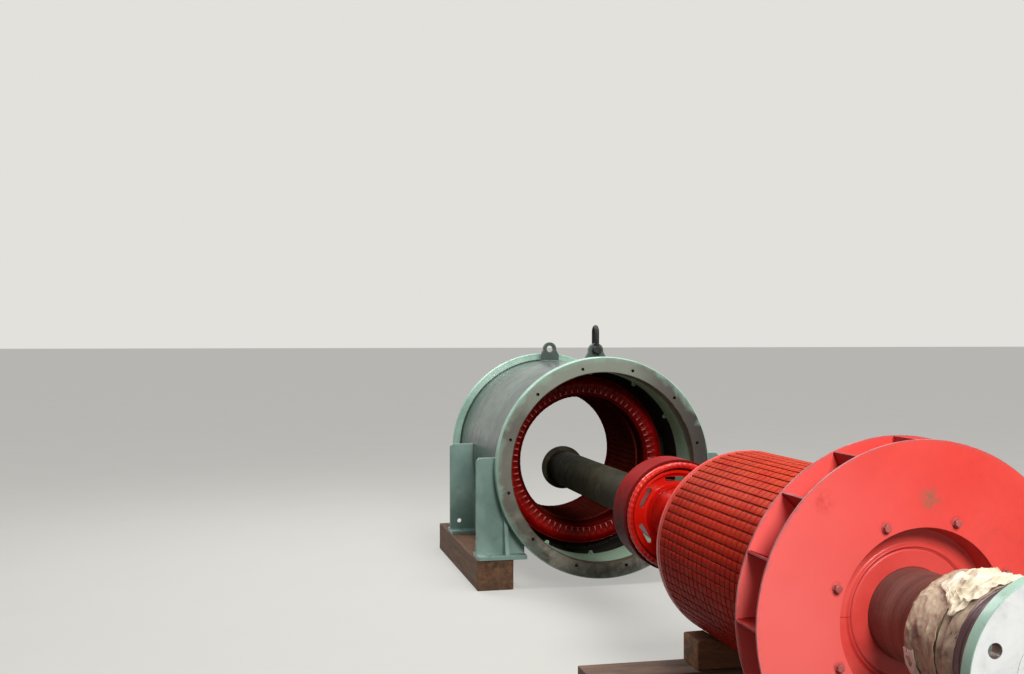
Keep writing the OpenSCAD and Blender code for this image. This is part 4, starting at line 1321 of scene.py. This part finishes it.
def shell():
    """The rolled shell, a little uneven, and as a piece of its own the beads of its welds."""
    b = Build()
    rows = [FLANGE_T + (FRAME_LEN - 2 * FLANGE_T) * i / 16 for i in range(17)]

    def wave(s, r, a):
        if r < 0.6:
            return 0.0, 0.0
        return 0.0, 0.0009 * noise.noise(Vector((s * 3, cos(a) * 2.2, sin(a) * 2.2))) - 0.0004
    ring = [(s, SHELL_R) for s in rows] + [(rows[-1], 0.590), (rows[0], 0.590)]
    b.lathe(STATOR, ring, 200, slot=lambda s, r: 1 if r < 0.6 else 0, wave=wave)
    b.finish("frame_shell", SHELL, CHAMBER)

    b = Build()
    count = 260
    for s in (FLANGE_T + 0.003, FRAME_LEN - FLANGE_T - 0.003):
        path = [STATOR(s, SHELL_R + 0.0035, TAU * i / count) for i in range(count)]
        size = [0.0052 * (0.85 + 0.3 * noise.noise(Vector((i * 0.9, s, 0.0)))) for i in range(count)]
        b.tube(path, size, 7, True)
    margin = 0.06
    steps = [margin + (FRAME_LEN - 2 * margin) * k / 40 for k in range(41)]
    seam = [STATOR(s, SHELL_R + 0.0005, rad(212)) for s in steps]
    for k in range(40):
        b.bead(seam[k], seam[k + 1], 0.004, k)
    b.finish("frame_shell", SHELL, own="frame_shell_welds")


def guide_ring():
    """The air guide ring inside the front flange, with twelve drilled lugs on ribs."""
    b = Build()
    start, outer = FLANGE_T + 0.0003, FLANGE_BORE_R + 0.008
    b.lathe(STATOR, band(start, GUIDE_END, FLANGE_BORE_R, outer), 200, 0.0015, 2)
    tongue = dense(fillet(twofold([(0.5685, 0.019), (0.5560, 0.012), (0.5450, 0.009)]), 0.004, 2), 0.02)
    rib = [(0.0, 0.5665), (0.0, 0.5640), (0.042, 0.5480), (0.0425, 0.5665)]
    for k in range(12):
        turn = TAU * k / 12 + pi / 2
        b.plate(place(STATOR, turn, GUIDE_END - 0.008), [tongue, circle(0.5555, 0.0, 0.0048, 16)], 0.0, 0.008)
        web = place(STATOR, turn, GUIDE_END - 0.050)
        b.plate(lambda u, v, w: web(v, w, u), [rib], -0.003, 0.003, 0.0008)
    b.finish("air_guide_ring", guide_paint())


def core_rings():
    """The bolted rings that press the stator's core together, dark with painted shade."""
    for end, axis, depth, out in ENDS:
        b = Build()
        b.lathe(axis, band(depth, depth + 0.026, 0.5453, 0.5897), 180, 0.002, 2)
        for k in range(24):
            b.bolt(axis(depth, 0.567, TAU * (k + 0.5) / 24), out, 0.024, 0.015, k * 0.6, 0.016)
        b.finish(end + "_core_ring", CHAMBER)


def stator_core():
    """The stator's teeth in packets, the wedges of its slots and the stack behind them."""
    random.seed(17)
    b = Build()
    packets, root, c, wedge_half = 12, 0.412, 0.0012, 0.0074
    pitch = (STACK_END - STACK_START) / packets
    half = pi * BORE_R / STATOR_SLOTS - 0.007
    wide = half + 0.0015
    for k in range(STATOR_SLOTS):
        at = place(STATOR, pi / 2 + TAU * (k + 0.5) / STATOR_SLOTS)
        for i in range(packets):
            s0 = STACK_START + i * pitch + (0.003 if i else 0)
            s1 = STACK_START + (i + 1) * pitch - (0.003 if i < packets - 1 else 0)
            tip = BORE_R + random.uniform(0.0, 0.0006)
            full = twofold([(root, wide), (tip + c, half), (tip, half - c)])
            less = twofold([(root, wide - c), (tip + 2 * c, half - c), (tip + c, half - 2 * c)])
            packet(b, at, full, less, s0, s1, c)
        low = 0.3940 + random.uniform(-0.0004, 0.0004)
        wedge = twofold([(root, wedge_half), (low + 0.002, wedge_half), (low, 0.0062)])
        bar = place(STATOR, pi / 2 + TAU * k / STATOR_SLOTS)
        b.stack(bar, [(wedge, STACK_START - 0.004), (wedge, STACK_END + 0.004)], 1)
    b.lathe(STATOR, band(STACK_START, STACK_END, 0.411, 0.545), 160, 0.001, 1, slot=1)
    b.finish("stator_core", bore_varnish(), stator_wedge(), sharp=40, weighted=False)


def windings():
    """The end windings: one taped nose for each coil, and two bound rings round them."""
    varnish, throat = winding_varnish(), winding_throat()
    low, high = 0.431, 0.472
    places = (-0.5, -0.30, -0.18, -0.10, -0.045, 0.0, 0.045, 0.10, 0.18, 0.30)
    side = ((0.026, 0.4035), (0.014, 0.4080), (0.0065, 0.4270), (0.0020, 0.4340), (0.0, 0.4400),
            (0.0, 0.4800), (0.0025, 0.4880), (0.009, 0.4990), (0.026, 0.5170), (0.050, 0.5305),
            (0.080, 0.5290), (0.110, 0.5190))
    size = [0.002, 0.006, 0.006, 0.003, 0.002, 0.003, 0.003, 0.003, 0.005, 0.008, 0.008, 0.008, 0.008, 0.002]
    for (end, axis, depth, _), step in zip(ENDS, (0.0075, 0.0110)):
        b = Build()
        near = depth - 0.0003
        far = near - 0.1414
        ring = [(near, 0.4035), *[(far + s, r) for s, r in side], (near, 0.5110)]

        def height(s, r):
            if s > far + 0.070:
                return 0.0012
            crest = limited((r - low) / 0.005) * limited((high + 0.018 - r) / 0.030)
            return 0.0010 + 0.0080 * crest + 0.0022 * hump(r, low + 0.008, 0.007)
        coil_ring(b, axis, dense(fillet(ring, size, 2), step), STATOR_SLOTS, places, height, 0.0008, 5.0,
                  (near - 0.060, 0.462), pi / 2 + pi / STATOR_SLOTS, slot=lambda s, r: 1 if r < 0.4275 else 0)
        count = 4 * STATOR_SLOTS
        for s, r, thick in ((near - 0.052, 0.5270, 0.0034), (near - 0.098, 0.5275, 0.0030)):
            turns = [TAU * i / count for i in range(count)]
            b.tube([axis(s, r + 0.0006 * cos(STATOR_SLOTS * a), a) for a in turns], thick, 7, True)
        b.finish(end + "_winding", varnish, throat, sharp=70, weighted=False)


def foot(node, depth, side, jack, shade):
    """A welded foot: a web cut to the shell, a base plate with its holes and a rib."""
    b = Build()
    inner, edge, thick, half_base, rise, bead = 0.470, 0.760, 0.024, 0.090, 0.065, 0.0045
    x0, top, floor = STATOR.x - depth, STATOR.z + rise, SLEEPER_TOP + thick
    first, last = math.asin(rise / SEAT_R), -math.acos(inner / SEAT_R)
    turns = [first + (last - first) * i / 24 for i in range(25)]
    arc = [(SEAT_R * cos(q), STATOR.z + SEAT_R * sin(q)) for q in turns]
    web = [(inner, floor - 0.001), (edge, floor - 0.001), (edge, top - 0.018), (edge - 0.018, top), *arc]
    holes = [circle(edge - 0.062, SLEEPER_TOP + 0.080, 0.014, 28)] if jack else []
    b.plate(lambda u, v, w: Vector((x0 + thick / 2 - w, side * u, v)), [web, *holes], 0.0, thick, 0.002)
    base = fillet([(-half_base, inner), (half_base, inner), (half_base, edge), (-half_base, edge)], 0.006)
    bolts = [circle(x, edge - 0.070, 0.017, 32) for x in (-0.042, 0.042)]
    b.plate(lambda u, v, w: Vector((x0 + u, side * v, floor - w)), [base, *bolts], 0.0, thick, 0.002)
    rib_y, crest = edge - 0.160, floor + 0.260
    rib = fillet([(-half_base, floor), (half_base, floor), (0.024, crest), (-0.024, crest)], 0.004, 2)
    b.plate(lambda u, v, w: Vector((x0 + u, side * (rib_y - w), v)), [rib], 0.0, thick, 0.0018)

    def at(x, y, z):
        return Vector((x, side * y, z))
    for face in (-1, 1):
        x = x0 + face * (thick / 2 + 0.001)
        b.bead(at(x, inner + 0.004, floor + 0.001), at(x, edge - 0.004, floor + 0.001), 0.0048, 1 + face)
        path = [at(x, y + 0.001, z) for y, z in arc]
        for i in range(len(path) - 1):
            b.bead(path[i], path[i + 1], bead, i + face)
        for y in (rib_y + 0.001, rib_y - thick - 0.001):
            b.bead(at(x, y, floor), at(x, y, floor + 0.256), bead, 4)
            b.bead(at(x0 + face * 0.014, y, floor + 0.001), at(x0 + face * 0.086, y, floor + 0.001), bead, 5)
    b.finish(node, shade)


def lug(node, depth):
    """A lifting lug welded on top of the shell, with its eye."""
    b = Build()
    half, crown, x0 = 0.065, 0.0468, STATOR.x - depth
    seat = [-half + half * i / 4 for i in range(9)]
    cheek = EYE_Z - 0.042
    turns = [rad(-10) + rad(200) * i / 18 for i in range(19)]
    loop = [(y, STATOR.z + math.sqrt(SEAT_R ** 2 - y ** 2)) for y in seat] + [(half, cheek)]
    loop += [(crown * cos(q), EYE_Z + crown * sin(q)) for q in turns] + [(-half, cheek)]
    eye = circle(0, EYE_Z, 0.023, 40)
    b.plate(lambda u, v, w: Vector((x0 + 0.015 - w, u, v)), [loop, eye], 0.0, 0.030, 0.0025)
    for x in (x0 - 0.016, x0 + 0.016):
        top = Vector((x, 0, STATOR.z + SEAT_R + 0.001))
        low = [Vector((x, y, loop[0][1] + 0.001)) for y in (-half, half)]
        b.bead(low[0], top, 0.005, 2)
        b.bead(top, low[1], 0.005, 3)
    b.finish(node, SHELL)


def shackle():
    """The shackle that hangs upright in the front lug's eye, and its pin."""
    b = Build()
    half, bar, high = 0.033, 0.013, 0.108
    x0, z0 = STATOR.x - EYE_DEPTH, EYE_Z + 0.0037
    out = half + bar
    bow = [pi * i / 16 for i in range(17)]
    legs = [[Vector((x0 + way * half, 0, z0 + z)) for z in (0.0, 0.03, 0.07)] for way in (-1, 1)]
    arch = [Vector((x0 - half * cos(q), 0, z0 + high + half * sin(q))) for q in bow]
    b.tube(legs[0] + arch + legs[1][::-1], bar, 20)
    for way in (-1, 1):
        b.lathe(Axis(x0 + way * half + bar, 0.0, z0), band(0.0, 2 * bar, 0.012, 0.026), 40, 0.004)
    end = 2 * out + 0.012
    pin = [(0.0, 0.010), (0.0, 0.019), (end - 0.002, 0.019), (end, 0.017), (end, 0.010)]
    b.lathe(Axis(x0 + out + 0.001, 0.0, z0), pin, 40, closed=False)
    b.bolt(Vector((x0 + out, 0, z0)), FRONT, 0.044, 0.012, 0.2)
    b.bolt(Vector((x0 - out, 0, z0)), BACK, 0.042, 0.011, 0.5)
    b.finish("lifting_shackle", black_steel())


# Timbers

def beam(node, shade, seed, along_x):
    """A sawn timber with worn edges, inside the limits of its solid."""
    b = Build()
    low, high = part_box(node)
    shy = 0.0022
    long, wide = (0, 1) if along_x else (1, 0)
    start, end = low[wide] + shy, high[wide] - shy
    length = high[long] - low[long]
    grain = Vector((3, 11, 11)) if along_x else Vector((11, 3, 11))

    def point(u, v, w):
        return Vector((high.x - w, u, v)) if along_x else Vector((u, low.y + w, v))
    loop = [(start, low.z), (end, low.z), (end, high.z), (start, high.z)]
    worn = dense(fillet(loop, [0.006, 0.007, 0.010, 0.008]), 0.030)
    b.plate(point, [worn], shy, length - shy, 0.004, between=int(length / 0.045))
    for p in b.points:
        move = noise.noise_vector(p * grain + Vector((seed, 0, 0))) * 0.0018
        p[wide] += move[wide]
        if low[long] + 0.02 < p[long] < high[long] - 0.02:
            p[long] += move[long]
        if low.z + 0.004 < p.z < high.z - 0.001:
            p.z += move.z * 0.5
        p.z = min(p.z, high.z)
    b.finish(node, shade, sharp=60)


def saddle(node, shade, seed):
    """A timber block hollowed to the round of the rotor body."""
    b = Build()
    low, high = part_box(node)
    reach, shy = CORE_R + 0.0006, 0.0020
    end = math.acos((ROTOR.z - high.z) / reach)
    turns = [end - 2 * end * i / 32 for i in range(33)]
    arc = [(ROTOR.y + reach * sin(q), ROTOR.z - reach * cos(q) - 0.0001) for q in turns]
    hollow = [(y, z) for y, z in arc if abs(y - ROTOR.y) < (high.y - low.y) / 2 - 0.012]
    loop = [(low.y + shy, low.z), (high.y - shy, low.z), (high.y - shy, high.z - shy), *hollow,
            (low.y + shy, high.z - shy)]
    worn = fillet(loop, [0.005, 0.006, 0.008] + [0] * len(hollow) + [0.008])
    b.plate(lambda u, v, w: Vector((high.x - w, u, v)), [dense(worn, 0.022)], shy, high.x - low.x - shy,
            0.004, between=6)
    for p in b.points:
        away = math.hypot(p.y - ROTOR.y, p.z - ROTOR.z)
        if away > reach + 0.004 and p.z > low.z + 0.002:
            move = noise.noise_vector(p * Vector((9, 4, 9)) + Vector((seed, 0, 0))) * 0.0016
            p.x += move.x
            if low.y + 0.002 < p.y < high.y - 0.002:
                p.y += move.y * 0.3
    b.finish(node, shade, sharp=60)


def timbers():
    """The sleepers, the cross timbers on them and the saddle blocks."""
    along_x = timber("sleeper_wood", (62, 40, 26), (98, 66, 42), (128, 92, 62), (2.5, 26.0, 26.0))
    along_y = timber("cross_timber_wood", (66, 46, 36), (96, 70, 54), (124, 96, 76), (26.0, 2.5, 26.0))
    block = timber("saddle_wood", (74, 44, 26), (122, 76, 44), (156, 104, 64), (22.0, 3.5, 22.0), (40, 26, 20))
    beam("sleeper_left", along_x, 3.0, True)
    beam("sleeper_right", along_x, 8.0, True)
    beam("front_cross_timber", along_y, 14.0, False)
    beam("rear_cross_timber", along_y, 21.0, False)
    saddle("front_saddle", block, 5.0)
    saddle("rear_saddle", block, 9.0)


scene.view_settings.view_transform = 'Standard'
add_camera()
add_world()
add_floor()
add_light("key", (7.0, -0.3, 4.4), (1.2, 0.0, 0.6), 2.4, 400.0, (1.0, 0.98, 0.95))
add_light("top", (-0.2, 0.8, 6.0), (0.0, 0.0, 0.0), 4.0, 250.0, (1.0, 1.0, 0.98))
add_light("back", (-3.6, -1.6, 4.6), (-0.4, 0.0, 0.7), 2.2, 130.0, (0.95, 0.98, 1.0))

RED = gloss_red("gloss_red", (168, 16, 12), (200, 24, 16), (216, 48, 30))
MINT = mint("mint_paint", (126, 160, 142), (154, 188, 170), (178, 206, 190))
FACE, SHELL, CHAMBER = coupling_face(), shell_paint(), chamber_paint()
for build in (coupling, shaft, wrap, fan, hub, rotor_core, end_rings, spider, exciter, extension_tube,
              flanges, shell, guide_ring, core_rings, stator_core, windings):
    build()
foot_mint = mint("foot_paint", (104, 132, 124), (128, 156, 148), (150, 176, 166), rough=0.42)
for end, depth, jack in (("front", 0.098, False), ("rear", 1.016, True)):
    for hand, side in (("left", -1), ("right", 1)):
        foot(f"{end}_foot_{hand}", depth, side, jack, foot_mint)
lug("front_lifting_lug", EYE_DEPTH)
lug("rear_lifting_lug", FRAME_LEN - EYE_DEPTH)
shackle()
timbers()
